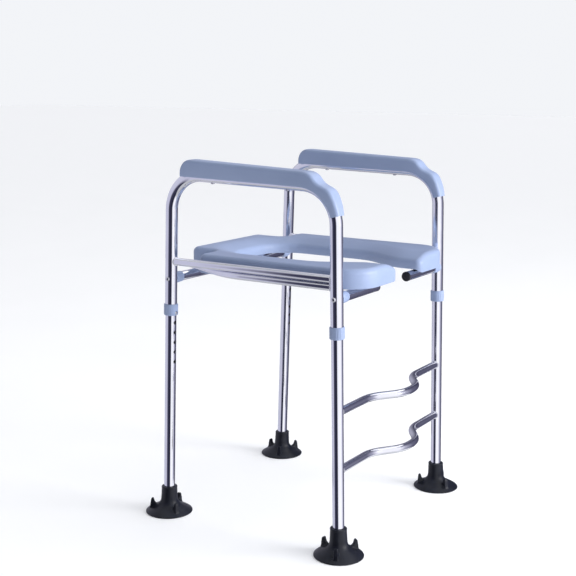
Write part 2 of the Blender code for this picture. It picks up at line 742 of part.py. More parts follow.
def pad_stations(side):
    """Where the pad has a cross-section: its centre, outward direction, half-width and height."""
    path = arm_path(side)
    bend = path[BEND_STEPS + 2:][:PAD_BEND_STEPS + 1]
    rear, front = path[BEND_STEPS + 1], bend[0]
    slope = (front - rear).normalized()
    up = slope.cross(X_AXIS)
    up = up if up.z > 0 else -up
    stations = []
    rear_y = arm_corner(1)[0] - PAD_REAR
    for step in range(4):
        angle = math.radians(30 * step)
        y = rear_y - PAD_REAR_CORNER * (1 - math.cos(angle))
        top = max(PAD_TOP - PAD_REAR_CORNER * (1 - math.sin(angle)), PAD_REAR_TOP)
        centre = rear + slope * (rear.y - y) / -slope.y
        stations.append((centre, up, PAD_HALF_WIDTH, top))
    stations.append((front - slope * PAD_TOP / 3, up, PAD_HALF_WIDTH, PAD_FRONT_TOP))
    tops = (
        PAD_FRONT_TOP, PAD_FRONT_TOP * 0.95, PAD_DIP_TOP, PAD_KNUCKLE_TOP * 0.92,
        PAD_KNUCKLE_TOP, PAD_SLEEVE_TOP * 1.2, PAD_SLEEVE_TOP,
    )
    arc_centre = front - up * BEND_RADIUS
    for step, (centre, top) in enumerate(zip(bend, tops)):
        share = step / PAD_BEND_STEPS
        wide = PAD_HALF_WIDTH + (PAD_KNUCKLE_HALF_WIDTH - PAD_HALF_WIDTH) * min(share * 1.8, 1)
        narrow = wide + (PAD_SLEEVE_HALF_WIDTH - wide) * max(share - 0.6, 0) / 0.4
        stations.append((centre, (centre - arc_centre).normalized(), narrow, top))
    return stations


def add_armrest(side_name, side, screw_cutters):
    loops = [pad_section(*station) for station in pad_stations(side)]
    pad = add_object(f"{side_name}_armrest_pad", loft_mesh(f"{side_name}_armrest_pad", loops), BLUE)
    for cutter in screw_cutters:
        boolean(pad, cutter)


def arm_height(y):
    """Height of the arm tube's axis between its corners."""
    (rear_y, rear_z), (front_y, front_z) = arm_corner(1), arm_corner(-1)
    return front_z + (rear_z - front_z) * (y - front_y) / (rear_y - front_y)


def add_pad_screws(side_name, side):
    """Two screws up through the arm tube into the pad. It returns the cutters of their holes."""
    cutters_made = []
    for end_name, end in ENDS.items():
        name = f"{side_name}_{end_name}_pad_screw"
        under, bite = -FRAME_R - GAP, FRAME_R + SCREW_BITE
        head = under - SCREW_HEAD
        profile = [
            (0, bite), (SCREW_R, bite - SCREW_R), (SCREW_R, under), (SCREW_HEAD_R, under),
            (SCREW_HEAD_R, under - SCREW_HEAD * 0.6), (SCREW_HEAD_R * 0.7, head), (0, head),
        ]
        y = arm_corner(end)[0] - end * SCREW_SETBACKS[end_name]
        centre = (side * LEG_X, y, arm_height(y))
        mesh = turned_mesh(name, profile, HOLE_SIDES)
        mesh.transform(Matrix.Translation(centre))
        add_object(name, mesh, STEEL)
        start = -FRAME_R * 1.5
        cut = cylinder_mesh(f"{name}_cut", SCREW_HOLE_R, start, bite + GAP, Z_AXIS, centre, HOLE_SIDES)
        cutters_made.append(add_object(f"{name}_cut", cut, None))
    return cutters_made


def seat_outline(inset=0.0):
    """The outer edge of the seat without its opening, drawn in by inset."""
    rear, shoulder, front = SEAT_REAR_Y - inset, SEAT_SHOULDER_Y - inset, SEAT_FRONT_Y + inset
    wide, tongue = SEAT_HALF_WIDTH - inset, TONGUE_HALF_WIDTH - inset
    corners = [
        (tongue, rear), (-tongue, rear), (-tongue, shoulder), (-wide, shoulder),
        (-wide, front), (wide, front), (wide, shoulder), (tongue, shoulder),
    ]
    rear_corner, notch = SEAT_REAR_CORNER - inset, SEAT_NOTCH_R + inset
    large = SEAT_FRONT_CORNER - inset
    return corners, [rear_corner, rear_corner, notch, rear_corner, large, large, rear_corner, notch]


def opening_outline(offset=0.0, front=SEAT_FRONT_Y):
    """The opening and the slot in front of it, enlarged by offset."""
    wide, rear, slot = OPENING_HALF_WIDTH + offset, OPENING_REAR_Y + offset, SLOT_HALF_WIDTH + offset
    corners = [
        (-slot, front), (-slot, SLOT_REAR_Y), (-wide, OPENING_TAPER_Y), (-wide, rear),
        (wide, rear), (wide, OPENING_TAPER_Y), (slot, SLOT_REAR_Y), (slot, front),
    ]
    rear_corner = OPENING_REAR_CORNER + offset
    radii = [0, SLOT_TAPER_R, OPENING_TAPER_R, rear_corner]
    return corners, radii + radii[::-1]


def seat_board_outline():
    """The seat's whole edge: the outside as far as the slot, then in along it round the opening."""
    outer, outer_radii = seat_outline()
    inner, inner_radii = opening_outline()
    inner_radii = [SLOT_CORNER] + inner_radii[1:-1] + [SLOT_CORNER]
    corners = outer[:5] + inner + outer[5:]
    return filleted([Vector(c) for c in corners], outer_radii[:5] + inner_radii + outer_radii[5:], 5)


def add_seat(hinge):
    """The moulded board: dished towards its opening, and hollow underneath inside a skirt."""
    mesh = plate_mesh("seat_board", seat_board_outline(), SEAT_BOTTOM, SEAT_TOP, SEAT_EDGE)
    board = add_object("seat_board", mesh, BLUE, hinge)
    pocket_outline = filleted(*seat_outline(SEAT_RIM), 4)
    pocket_low, pocket_high = SEAT_BOTTOM - SEAT_POCKET, SEAT_BOTTOM + SEAT_POCKET
    pocket = plate_mesh("seat_pocket_cut", pocket_outline, pocket_low, pocket_high)
    boolean(board, add_object("seat_pocket_cut", pocket, None, hinge))
    loops = []
    past_front = SEAT_FRONT_Y - DISH_WIDTH
    above = SEAT_TOP + DISH_DEPTH
    for offset, height in ((0, SEAT_TOP - DISH_DEPTH), (DISH_WIDTH, SEAT_TOP), (DISH_WIDTH, above)):
        corners, radii = opening_outline(offset, past_front)
        loops.append([Vector((*p, height)) for p in filleted([Vector(c) for c in corners], radii, 5)])
    boolean(board, add_object("seat_dish_cut", loft_mesh("seat_dish_cut", loops), None, hinge))
    for mesh in (board.data, pocket, bpy.data.objects["seat_dish_cut"].data):
        mesh.transform(Matrix.Translation(-hinge.location))
    return board


def add_seat_clip(side_name, side, hinge):
    """A clip that snaps over the rear cross tube and turns on it, screwed up into the seat."""
    name = f"{side_name}_seat_hinge_clip"
    low_x, high_x = side * CLIP_X - CLIP_LENGTH / 2, side * CLIP_X + CLIP_LENGTH / 2
    bore = CROSS_R + CLIP_RUNNING_GAP
    ceiling = SEAT_BOTTOM + SEAT_POCKET - GAP - hinge.location.z
    clip = add_object(name, cylinder_mesh(name, bore + CLIP_WALL, low_x, high_x, X_AXIS), BLUE, hinge)
    under_flange = ceiling - CLIP_FLANGE
    bracket = [
        (-CLIP_TONGUE, ceiling), (-CLIP_TONGUE, under_flange), (-CLIP_NECK, under_flange),
        (-CLIP_NECK, 0), (CLIP_NECK, 0), (CLIP_NECK, ceiling),
    ]
    loops = [[Vector((x, y, z)) for y, z in bracket] for x in (low_x, high_x)]
    boolean(clip, add_object(f"{name}_bracket", loft_mesh(f"{name}_bracket", loops), None, hinge), "UNION")
    past_low, past_high = low_x - bore, high_x + bore
    cut = cylinder_mesh(f"{name}_bore_cut", bore, past_low, past_high, X_AXIS)
    boolean(clip, add_object(f"{name}_bore_cut", cut, None, hinge))
    mouth_half = CLIP_MOUTH / 2
    below = -2 * (bore + CLIP_WALL)
    mouth = box_mesh(f"{name}_mouth_cut", (past_low, -mouth_half, below), (past_high, mouth_half, 0))
    boolean(clip, add_object(f"{name}_mouth_cut", mouth, None, hinge))
    bite = CLIP_SCREW_BITE
    head_low = under_flange - GAP - SCREW_HEAD
    profile = [
        (0, ceiling + bite), (SCREW_R, ceiling + bite - SCREW_R), (SCREW_R, head_low + SCREW_HEAD),
        (SCREW_HEAD_R, head_low + SCREW_HEAD), (SCREW_HEAD_R * 0.8, head_low), (0, head_low),
    ]
    spot = Matrix.Translation((side * CLIP_X, -CLIP_SCREW_Y, 0))
    screw = turned_mesh(f"{side_name}_seat_clip_screw", profile, HOLE_SIDES)
    screw.transform(spot)
    add_object(f"{side_name}_seat_clip_screw", screw, STEEL, hinge)
    hole_top = ceiling + bite + GAP
    hole = cylinder_mesh(f"{name}_screw_cut", SCREW_HOLE_R, head_low, hole_top, sides=HOLE_SIDES)
    hole.transform(spot)
    hole_cutter = add_object(f"{name}_screw_cut", hole, None, hinge)
    boolean(clip, hole_cutter)
    return hole_cutter


def add_seat_rest(side_name, side, hinge):
    """A rubber block under the seat that comes down on the front support arm."""
    half_x, half_y = REST_SIZE[0] / 2, REST_SIZE[1] / 2
    x = side * REST_X
    mesh = box_mesh(
        f"{side_name}_seat_rest",
        (x - half_x, -CROSS_Y - half_y, CROSS_Z + CROSS_R + GAP),
        (x + half_x, -CROSS_Y + half_y, SEAT_BOTTOM + SEAT_POCKET - GAP),
    )
    mesh.transform(Matrix.Translation(-hinge.location))
    rest = add_object(f"{side_name}_seat_rest", mesh, BLACK_PLASTIC, hinge)
    bevel = rest.modifiers.new("Edges", "BEVEL")
    bevel.width = REST_EDGE
    bevel.segments = 1


def main():
    axes = add_leg_frames()
    bpy.context.view_layer.update()
    frame_cutters, lower_cutters, tube_cuts = {}, {}, {"right": [], "left": []}
    for (side_name, end_name), axis in axes.items():
        side, end = SIDES[side_name], ENDS[end_name]
        name = f"{end_name}_{side_name}"
        frame_cutter, lower_cutter = add_leg_cutters(axis, name)
        frame_cutters[side_name, end_name] = frame_cutter
        lower_cutters[side_name, end_name] = lower_cutter
        bolt_cutter = add_bolt_cutter(name, side, end)
        button_cutter = add_button_cutter(axis, name, end)
        tube_cuts[side_name] += [bolt_cutter, button_cutter]
        add_collar(axis, name, button_cutter)
        add_lower_leg(axis, name, end)
        button_back = add_snap_button(axis, name, end)
        add_button_spring(axis, name, end, button_back)
        add_foot(axis, name, (side * LEG_X, end * LEG_FOOT_Y, 0), TAB_ANGLES[side_name, end_name])
        add_saddle(name, side, end, frame_cutter, bolt_cutter)
        add_cross_bolt(name, side, end)
        add_insert(name, side, end)
    for side_name, side in SIDES.items():
        screw_cuts = add_pad_screws(side_name, side)
        add_frame_tube(side_name, side, tube_cuts[side_name] + screw_cuts)
        add_armrest(side_name, side, screw_cuts)
    add_cross_tubes()
    add_side_rails(frame_cutters)
    add_front_bars(lower_cutters)
    hinge = add_empty("seat_hinge_axis", (0, CROSS_Y, CROSS_Z))
    board = add_seat(hinge)
    for side_name, side in SIDES.items():
        boolean(board, add_seat_clip(side_name, side, hinge))
        add_seat_rest(side_name, side, hinge)


clear_scene()
parts = new_collection("toilet_safety_frame")
cutters = new_collection("cutters")
main()
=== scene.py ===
"""Toilet safety frame: the visual model, its materials, the studio and the camera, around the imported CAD.

Metres, +Z up, the front of the object faces -Y and +X is the user's left. Every place comes from the
CAD nodes' boxes and joint axes. The sizes below are those that a box can't give.
"""

import json
from math import acos, asin, atan2, ceil, copysign, cos, hypot, pi, radians, sin, sqrt, tan

import bmesh
import bpy
from mathutils import Matrix, Vector
from mathutils.geometry import delaunay_2d_cdt, intersect_line_line


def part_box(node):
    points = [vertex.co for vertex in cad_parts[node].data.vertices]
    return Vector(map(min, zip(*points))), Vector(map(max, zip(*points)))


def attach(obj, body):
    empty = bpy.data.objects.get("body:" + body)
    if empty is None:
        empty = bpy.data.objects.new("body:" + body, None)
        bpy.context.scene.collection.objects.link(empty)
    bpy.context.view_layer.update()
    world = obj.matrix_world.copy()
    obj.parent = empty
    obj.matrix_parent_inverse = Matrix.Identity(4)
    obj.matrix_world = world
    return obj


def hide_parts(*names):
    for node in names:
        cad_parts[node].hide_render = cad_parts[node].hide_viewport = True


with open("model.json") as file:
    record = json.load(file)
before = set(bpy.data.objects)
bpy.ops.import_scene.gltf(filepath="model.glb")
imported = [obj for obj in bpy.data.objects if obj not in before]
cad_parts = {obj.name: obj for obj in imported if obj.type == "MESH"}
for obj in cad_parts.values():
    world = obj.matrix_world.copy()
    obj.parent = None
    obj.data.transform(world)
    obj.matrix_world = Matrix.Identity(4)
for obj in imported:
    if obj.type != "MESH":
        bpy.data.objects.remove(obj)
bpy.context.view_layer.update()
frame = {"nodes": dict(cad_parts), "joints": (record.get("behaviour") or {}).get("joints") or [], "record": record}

# Tubes: outer radius and wall
FRAME_R, FRAME_WALL = 0.0125, 0.0007
LOWER_R, LOWER_WALL = 0.0115, 0.0010
CROSS_R, RAIL_R, BRACE_R, BAR_R = 0.0100, 0.0080, 0.0070, 0.0080
THIN_WALL = 0.0010
BEND_RADIUS = 0.075
BEND_STEPS = 28
TUBE_SIDES = 48
TURN_STEPS = 64
GAP = 0.0003

# Height adjustment: heights are along the leg, from the floor
HOLE_PITCH = 0.0210
HOLE_COUNT = 6
HOLE_R = 0.0042
BUTTON_R = 0.0038
BUTTON_FLANGE_R = 0.0048
SLOT_HALF = 0.0036
SLOT_LENGTH = 0.0666           # below the cross bolt's axis
COLLAR_BELOW, COLLAR_ABOVE = 0.0055, 0.0185     # the collar's ends from the button's axis
COLLAR_FLOOR = 0.0027
FLUTES = 18
FLUTE_DEPTH = 0.00035
COLLAR_EDGE = 0.0022

# Brace under each side rail
BRACE_SPACING = RAIL_R + BRACE_R + GAP
BRACE_TURN_START = 0.0200
BRACE_TURN_REST = 0.0050
BRACE_SIDE_ANGLE = radians(14)

# Front bars
BAR_STRAIGHT_X, BAR_APEX_X, BAR_BEND = 0.0950, 0.0300, 0.0850
WELD_R = 0.0012
WELD_LIFT = 0.0009             # of the bead's middle above the leg, so that it stays within the tube's wall
WELD_RIPPLES = 26

# Screws
HEAD_R, HEAD, SHANK_R = 0.0040, 0.0022, 0.0020

# Armrest pads: heights are above the arm tube's axis
SCREW_BITE = 0.0090
PAD_TOP, PAD_FRONT_TOP, PAD_SKIRT, PAD_CORNER = 0.0310, 0.0265, -0.0030, 0.0075
PAD_HALF_WIDTH = 0.0205
PAD_REAR_CORNER = 0.0190
PAD_BEND_SHARE = 6 / 7         # how much of the front bend the pad's sleeve covers
PAD_LIP = 0.0010

# Seat board
SEAT_OPENING = 0.1040          # half-width of the opening
SLOT_HALF_WIDTH = 0.0520
SEAT_TONGUE = 0.1270           # half-width of the tongue at the rear
SEAT_SHOULDER = 0.0741         # from the rear edge forward to the shoulders
SEAT_TAPER = 0.1520            # from the front edge back to where the opening is full width
SEAT_SLOT = 0.0620             # length of the slot's parallel sides
SEAT_RADII = {"front": 0.0680, "rear": 0.0170, "notch": 0.0220, "slot": 0.0135}
OPENING_RADII = {"slot": 0.0800, "taper": 0.0900, "rear": 0.0700}
SEAT_EDGE_R, SEAT_LIP_R = 0.0115, 0.0065
SEAT_POCKET, SEAT_RIM = 0.0070, 0.0100
DISH_DEPTH, DISH_WIDTH = 0.0130, 0.0500
SEAT_RINGS = (                 # of the seat's top, from its outline inwards
    0, 0.0002, 0.0007, 0.0015, 0.0027, 0.0042, 0.0060, 0.0080, 0.0100, 0.0120, 0.0160, 0.0210, 0.0255,
)
CORNER_STEPS, EDGE_LENGTH = 14, 0.009

# Suction feet
FOOT_NECK_R, CUP_R = 0.0180, 0.0500
TAB_ANGLES = {"rear_right": 2, "front_left": 2, "front_right": 82, "rear_left": 82}
FOOT_VOXEL = 0.0009

SIDES = {"right": -1, "left": 1}
ENDS = {"rear": 1, "front": -1}
X_AXIS, Y_AXIS, Z_AXIS = Vector((1, 0, 0)), Vector((0, 1, 0)), Vector((0, 0, 1))

BODY_OF = {name: body for body, names in frame["record"]["behaviour"]["bodies"].items() for name in names}
SLOT_OF = {part["node"]: part["material_slot"] for part in frame["record"]["subparts"]}


# ---------------------------------------------------------------- materials

def feed(tree, made, inputs):
    """Fills a node's inputs. A value that is another node's output is linked."""
    for key, value in inputs.items():
        if isinstance(value, bpy.types.NodeSocket):
            tree.links.new(value, made.inputs[key])
        else:
            made.inputs[key].default_value = value


def node(tree, kind, inputs=None, **settings):
    made = tree.nodes.new(kind)
    for name, value in settings.items():
        setattr(made, name, value)
    feed(tree, made, inputs or {})
    return made


def material(name, roughness, metallic=0.0, **sockets):
    """A Principled material. Words such as coat_weight name the shader's other sockets."""
    made = bpy.data.materials.new(name)
    made.use_nodes = True
    tree, shader = made.node_tree, made.node_tree.nodes["Principled BSDF"]
    feed(tree, shader, {"Roughness": roughness, "Metallic": metallic})
    feed(tree, shader, {key.replace("_", " ").title().replace("Ior", "IOR"): sockets[key] for key in sockets})
    return made, tree, shader


def noise(tree, coordinates, scale, detail=2.0, stretch=None):
    """A noise texture over the coordinates, in metres. Stretch scales each axis first."""
    if stretch:
        mapping = node(tree, "ShaderNodeMapping", {"Vector": coordinates, "Scale": stretch})
        coordinates = mapping.outputs["Vector"]
    inputs = {"Vector": coordinates, "Scale": scale, "Detail": detail}
    return node(tree, "ShaderNodeTexNoise", inputs).outputs["Fac"]


def spread(tree, factor, low=0, high=1, start=0.3, end=0.7):
    """Maps the middle of a noise to the range from low to high."""
    inputs = {"Value": factor, "From Min": start, "From Max": end, "To Min": low, "To Max": high}
    return node(tree, "ShaderNodeMapRange", inputs).outputs["Result"]


def mixed(tree, factor, first, second):
    """A colour mix, through the mix node's colour sockets. Each side is a colour or another node's output."""
    first, second = ((*side, 1) if isinstance(side, tuple) else side for side in (first, second))
    return node(tree, "ShaderNodeMix", {0: factor, 6: first, 7: second}, data_type="RGBA").outputs[2]


def combined(tree, operation, first, second):
    return node(tree, "ShaderNodeMath", {0: first, 1: second}, operation=operation).outputs["Value"]


def bump(tree, height, strength, distance, normal=None):
    inputs = {"Height": height, "Strength": strength, "Distance": distance}
    if normal:
        inputs["Normal"] = normal
    return node(tree, "ShaderNodeBump", inputs).outputs["Normal"]


def grained_material(name, base, slow, fine, colours, roughness, relief, metallic=0.0, **sockets):
    """Colours that drift over a slow noise, and a fine grain. A metal's dullness follows its grain."""
    made, tree, shader = material(name, base, metallic, **sockets)
    coordinates = node(tree, "ShaderNodeTexCoord").outputs["Object"]
    drift, grain = noise(tree, coordinates, *slow), noise(tree, coordinates, *fine)
    feed(tree, shader, {
        "Base Color": mixed(tree, spread(tree, drift), *colours),
        "Roughness": spread(tree, grain if metallic else drift, *roughness),
        "Normal": bump(tree, grain, *relief),
    })
    return made


def chrome_material():
    """Bright plating over drawn tube: faint draw lines, a slight waviness and a few dull patches."""
    made, tree, shader = material("chrome_plating", 0.08, 1.0)
    coordinates = node(tree, "ShaderNodeTexCoord").outputs
    patches = noise(tree, coordinates["Object"], 14, 4)
    lines = noise(tree, coordinates["UV"], 1, 3, (25, 900, 1))
    waves = noise(tree, coordinates["Object"], 160, 1)
    dull = combined(tree, "ADD", spread(tree, patches, 0.035, 0.085), spread(tree, lines, 0, 0.035))
    feed(tree, shader, {
        "Base Color": mixed(tree, spread(tree, patches), (0.76, 0.765, 0.83), (0.84, 0.845, 0.90)),
        "Roughness": dull,
        "Normal": bump(tree, waves, 0.04, 0.0004, bump(tree, lines, 0.05, 0.0001)),
    })
    return made


def steel_material():
    """Plated fasteners and springs, with fine turning marks."""
    colours = (0.60, 0.60, 0.64), (0.74, 0.74, 0.78)
    return grained_material(
        "plated_steel", 0.22, (260, 3), (3200, 2), colours, (0.14, 0.30), (0.12, 0.0001), metallic=1.0
    )


def plastic_material():
    """Blue-grey moulded plastic: a fine spark-eroded grain, slow colour drift, and a painted highlight that makes
    the edges paler.
    """
    made, tree, shader = material("blue_moulded_plastic", 0.42, 0.0, ior=1.48)
    coordinates = node(tree, "ShaderNodeTexCoord").outputs["Object"]
    drift = noise(tree, coordinates, 9, 4)
    grain = noise(tree, coordinates, 1500, 3)
    orange_peel = noise(tree, coordinates, 240, 2)
    # Painted highlight: convex edges, picked out by pointiness, are mixed towards a paler blue.
    edge = spread(tree, node(tree, "ShaderNodeNewGeometry").outputs["Pointiness"], 0, 1, 0.52, 0.60)
    body = mixed(tree, spread(tree, drift), (0.246, 0.312, 0.486), (0.274, 0.342, 0.524))
    speck = mixed(tree, spread(tree, grain, 0, 0.22, 0.35, 0.75), body, (0.33, 0.40, 0.58))
    feed(tree, shader, {
        # The paler blue mixed in here is the edges' painted highlight.
        "Base Color": mixed(tree, combined(tree, "MULTIPLY", edge, 0.35), speck, (0.38, 0.45, 0.64)),
        "Roughness": spread(tree, drift, 0.36, 0.48),
        "Normal": bump(tree, orange_peel, 0.05, 0.0006, bump(tree, grain, 0.10, 0.0002)),
    })
    return made


def rubber_material():
    """Moulded black rubber with a dull bloom and a fine pitted skin."""
    colours = (0.004, 0.005, 0.010), (0.009, 0.011, 0.020)
    return grained_material(
        "black_moulded_rubber", 0.55, (38, 5), (1100, 3), colours, (0.27, 0.42), (0.16, 0.0003),
        ior=1.50, specular_ior_level=0.30,
    )


def black_plastic_material():
    colours = (0.010, 0.010, 0.014), (0.024, 0.024, 0.032)
    return grained_material(
        "black_moulded_plastic", 0.35, (60, 3), (1800, 2), colours, (0.28, 0.42), (0.10, 0.0002),
        ior=1.48, specular_ior_level=0.35,
    )


MATERIALS = {
    "chrome": chrome_material(),
    "steel": steel_material(),
    "blue_plastic": plastic_material(),
    "black_rubber": rubber_material(),
    "black_plastic": black_plastic_material(),
}


# ---------------------------------------------------------------- pieces and mesh helpers

def add_object(name, data):
    made = bpy.data.objects.new(name, data)
    bpy.context.scene.collection.objects.link(made)
    return made


def add_piece(name, mesh, body, slot, nodes=()):
    """Puts a mesh in the scene as a piece that rides on a body, and stands for the nodes given."""
    piece = add_object(name, mesh)
    mesh.materials.clear()
    mesh.materials.append(MATERIALS[slot])
    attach(piece, body)
    if nodes:
        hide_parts(*nodes)


def refine(cad_node, mesh):
    """A finer piece for one CAD node, on the same body and with the same slot."""
    add_piece(f"{cad_node}_fine", mesh, BODY_OF[cad_node], SLOT_OF[cad_node], [cad_node])


def as_mesh(bm, name):
    mesh = bpy.data.meshes.new(name)
    bm.to_mesh(mesh)
    bm.free()
    return mesh


def shaded(mesh, angle):
    """The mesh, smooth up to an edge angle."""
    mesh.shade_smooth()
    mesh.set_sharp_from_angle(angle=radians(angle))
    return mesh


def finished(bm, name, angle=35, merge=1e-6):
    """The bmesh as a mesh, welded, facing out and smooth up to an edge angle."""
    bmesh.ops.remove_doubles(bm, verts=bm.verts, dist=merge)
    bmesh.ops.dissolve_degenerate(bm, edges=bm.edges, dist=merge)
    bmesh.ops.recalc_face_normals(bm, faces=bm.faces)
    return shaded(as_mesh(bm, name), angle)


def applied(mesh, *modifiers):
    """The mesh with modifiers applied. Each is a type and its settings."""
    holder = add_object("holder", mesh)
    for kind, settings in modifiers:
        modifier = holder.modifiers.new(kind, kind)
        for name, value in settings.items():
            setattr(modifier, name, value)
    bpy.context.view_layer.update()
    graph = bpy.context.evaluated_depsgraph_get()
    result = bpy.data.meshes.new_from_object(holder.evaluated_get(graph))
    bpy.data.objects.remove(holder, do_unlink=True)
    return result


def bevelled(mesh, width, segments, limit, angle):
    """The mesh with its edges rounded where they turn by more than limit, in radians."""
    settings = {"width": width, "segments": segments, "limit_method": "ANGLE", "angle_limit": limit}
    return shaded(applied(mesh, ("BEVEL", settings)), angle)


def cut(mesh, *cutters):
    """The mesh less the cutters, which are meshes too."""
    helpers = [add_object("cutter", cutter) for cutter in cutters]
    settings = [{"object": helper, "operation": "DIFFERENCE"} for helper in helpers]
    result = applied(mesh, *[("BOOLEAN", each) for each in settings])
    for helper in helpers:
        bpy.data.objects.remove(helper, do_unlink=True)
    return result


def smooth(share):
    share = min(max(share, 0), 1)
    return share * share * (3 - 2 * share)


def box_of(cad_node):
    low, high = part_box(cad_node)
    return low, high, (low + high) / 2


def placed(place, axis):
    """The transform that takes the origin to place and the Z axis to axis."""
    return Matrix.Translation(place) @ Z_AXIS.rotation_difference(axis).to_matrix().to_4x4()


def turned(profile, place, axis=Z_AXIS, steps=TURN_STEPS, name="turned", angle=35):
    """A profile of (radius, height) points turned about an axis through place."""
    bm = bmesh.new()
    points = [bm.verts.new((radius, 0, height)) for radius, height in profile]
    edges = [bm.edges.new(pair) for pair in zip(points, points[1:])]
    bmesh.ops.spin(
        bm, geom=points + edges, cent=(0, 0, 0), axis=Z_AXIS, angle=2 * pi, steps=steps, use_merge=True
    )
    bm.transform(placed(place, axis))
    return finished(bm, name, angle, 2e-6)


def cylinder(radius, start, end, steps=TURN_STEPS):
    """A closed cylinder between two points, as a cutter."""
    run = end - start
    profile = [(0, run.length), (radius, run.length), (radius, 0), (0, 0)]
    return turned(profile, start, run.normalized(), steps, "cutter")


def block(low, high, matrix=Matrix.Identity(4)):
    bm = bmesh.new()
    low, high = Vector(low), Vector(high)
    scale = Matrix.Diagonal((*(high - low), 1))
    bmesh.ops.create_cube(bm, size=1, matrix=matrix @ Matrix.Translation((low + high) / 2) @ scale)
    return finished(bm, "block")


def bridge(bm, first, second):
    """A band of faces between two loops of vertices."""
    for i in range(len(first)):
        j = (i + 1) % len(first)
        bm.faces.new((first[i], first[j], second[j], second[i]))


def prism(bm, *outlines):
    """A closed solid between two outlines."""
    loops = [[bm.verts.new(point) for point in outline] for outline in outlines]
    bridge(bm, *loops)
    for loop in loops:
        bm.faces.new(loop)


def quarter(centre, across, rise, steps):
    """A quarter of an ellipse, from straight above its centre to straight beside it."""
    x, z = centre
    angles = [pi / 2 * step / steps for step in range(steps + 1)]
    return [(x + across * sin(angle), z + rise * cos(angle)) for angle in angles]


def arc(radius, start, end, steps):
    """Points round the origin, from one angle to another."""
    angles = [start + (end - start) * step / steps for step in range(steps + 1)]
    return [(radius * cos(angle), radius * sin(angle)) for angle in angles]


def circle(centre, first, second, radius, sides):
    """Points of a circle, from its first direction towards its second."""
    angles = [2 * pi * k / sides for k in range(sides)]
    return [centre + (first * cos(angle) + second * sin(angle)) * radius for angle in angles]


def filleted(corners, radii, steps, closed=True):
    """A polyline with rounded corners. Every rounded corner gets steps + 1 points, also one of radius 0."""
    points = []
    for i, (corner, radius) in enumerate(zip(corners, radii)):
        corner = Vector(corner)
        if not closed and i in (0, len(corners) - 1):
            points.append(corner)
            continue
        if radius <= 0:
            points += [corner.copy() for _ in range(steps + 1)]
            continue
        before = (Vector(corners[i - 1]) - corner).normalized()
        after = (Vector(corners[(i + 1) % len(corners)]) - corner).normalized()
        half = before.angle(after) / 2
        centre = corner + (before + after).normalized() * radius / sin(half)
        start = corner + before * radius / tan(half) - centre
        end = corner + after * radius / tan(half) - centre
        whole = start.angle(end)
        for step in range(steps + 1):
            share = step / steps
            arc = start * sin((1 - share) * whole) + end * sin(share * whole)
            points.append(centre + arc / sin(whole))
    return points


def rings_along(points, radius, sides, hint=X_AXIS):
    """Rings of points round a path, turned as little as possible from one to the next."""
    rings, normal, last = [], None, None
    for i, point in enumerate(points):
        run = (points[min(i + 1, len(points) - 1)] - points[max(i - 1, 0)]).normalized()
        if normal is None:
            normal = (hint - run * hint.dot(run)).normalized()
        else:
            normal = last.rotation_difference(run) @ normal
        last = run
        rings.append(circle(point, normal, run.cross(normal), radius, sides))
    return rings


def coped(ring, direction, leg):
    """Slides a ring's points along direction onto a leg: (origin, axis, radius)."""
    origin, axis, radius = leg
    flat = direction - axis * direction.dot(axis)
    result = []
    for point in ring:
        away = (point - origin) - axis * (point - origin).dot(axis)
        a, b, c = flat.length_squared, away.dot(flat), away.length_squared - radius**2
        result.append(point + direction * (-b - sqrt(b * b - a * c)) / a)
    return result


def tube_mesh(name, points, radius, wall, sides=TUBE_SIDES, start_leg=None, end_leg=None, hint=X_AXIS):
    """A hollow tube along points, its ends fitted to legs where they are given. Its UV runs in metres."""
    bm = bmesh.new()
    uv = bm.loops.layers.uv.new("Along")
    shells = []
    for size in (radius, radius - wall):
        rings = rings_along(points, size, sides, hint)
        if start_leg:
            rings[0] = coped(rings[0], (points[0] - points[1]).normalized(), start_leg)
        if end_leg:
            rings[-1] = coped(rings[-1], (points[-1] - points[-2]).normalized(), end_leg)
        shells.append([[bm.verts.new(p) for p in ring] for ring in rings])
    lengths = [0]
    for first, second in zip(points, points[1:]):
        lengths.append(lengths[-1] + (second - first).length)
    around = 2 * pi * radius / sides
    bands = []
    for shell in shells:
        bands += [(shell[i], shell[i + 1], lengths[i], lengths[i + 1]) for i in range(len(points) - 1)]
    bands += [(shells[0][i], shells[1][i], lengths[i], lengths[i]) for i in (0, -1)]
    for first, second, start, end in bands:
        for k in range(sides):
            j = (k + 1) % sides
            face = bm.faces.new((first[k], first[j], second[j], second[k]))
            places = ((start, k), (start, k + 1), (end, k + 1), (end, k))
            for loop, (length, turn) in zip(face.loops, places):
                loop[uv].uv = (length, turn * around)
    return finished(bm, name)


def add_weld(bm, path, direction, radius, leg):
    """Adds a rippled bead where a tube along direction, through path, meets a leg."""
    hint = X_AXIS if abs(direction.x) < 0.9 else Z_AXIS
    line = coped(rings_along([path, path + direction], radius, WELD_RIPPLES * 6, hint)[0], direction, leg)
    count = len(line)
    loops = []
    for i, point in enumerate(line):
        run = (line[(i + 1) % count] - line[i - 1]).normalized()
        out = (point - path) - direction * (point - path).dot(direction)
        out = (out - run * out.dot(run)).normalized()
        size = WELD_R * (1 + 0.16 * sin(2 * pi * WELD_RIPPLES * i / count))
        loops.append([bm.verts.new(p) for p in circle(point, out, run.cross(out), size, 10)])
    for loop, following in zip(loops, loops[1:] + loops[:1]):
        bridge(bm, loop, following)


# ---------------------------------------------------------------- places from the frame

FEET, AXES = {}, {}
JOINT_AXES = {joint["child"]: Vector(joint["axis"]).normalized() for joint in frame["joints"]}
for side_name in SIDES:
    for end_name in ENDS:
        leg = f"{end_name}_{side_name}"
        FEET[leg] = Vector((
            box_of(f"{leg}_lower_leg")[2].x, box_of(f"{leg}_suction_foot")[2].y, 0
        ))
        AXES[leg] = JOINT_AXES[BODY_OF[f"{leg}_lower_leg"]]

CROSS = box_of("rear_cross_tube")[2]
RAIL_Z = box_of("right_side_rail")[2].z


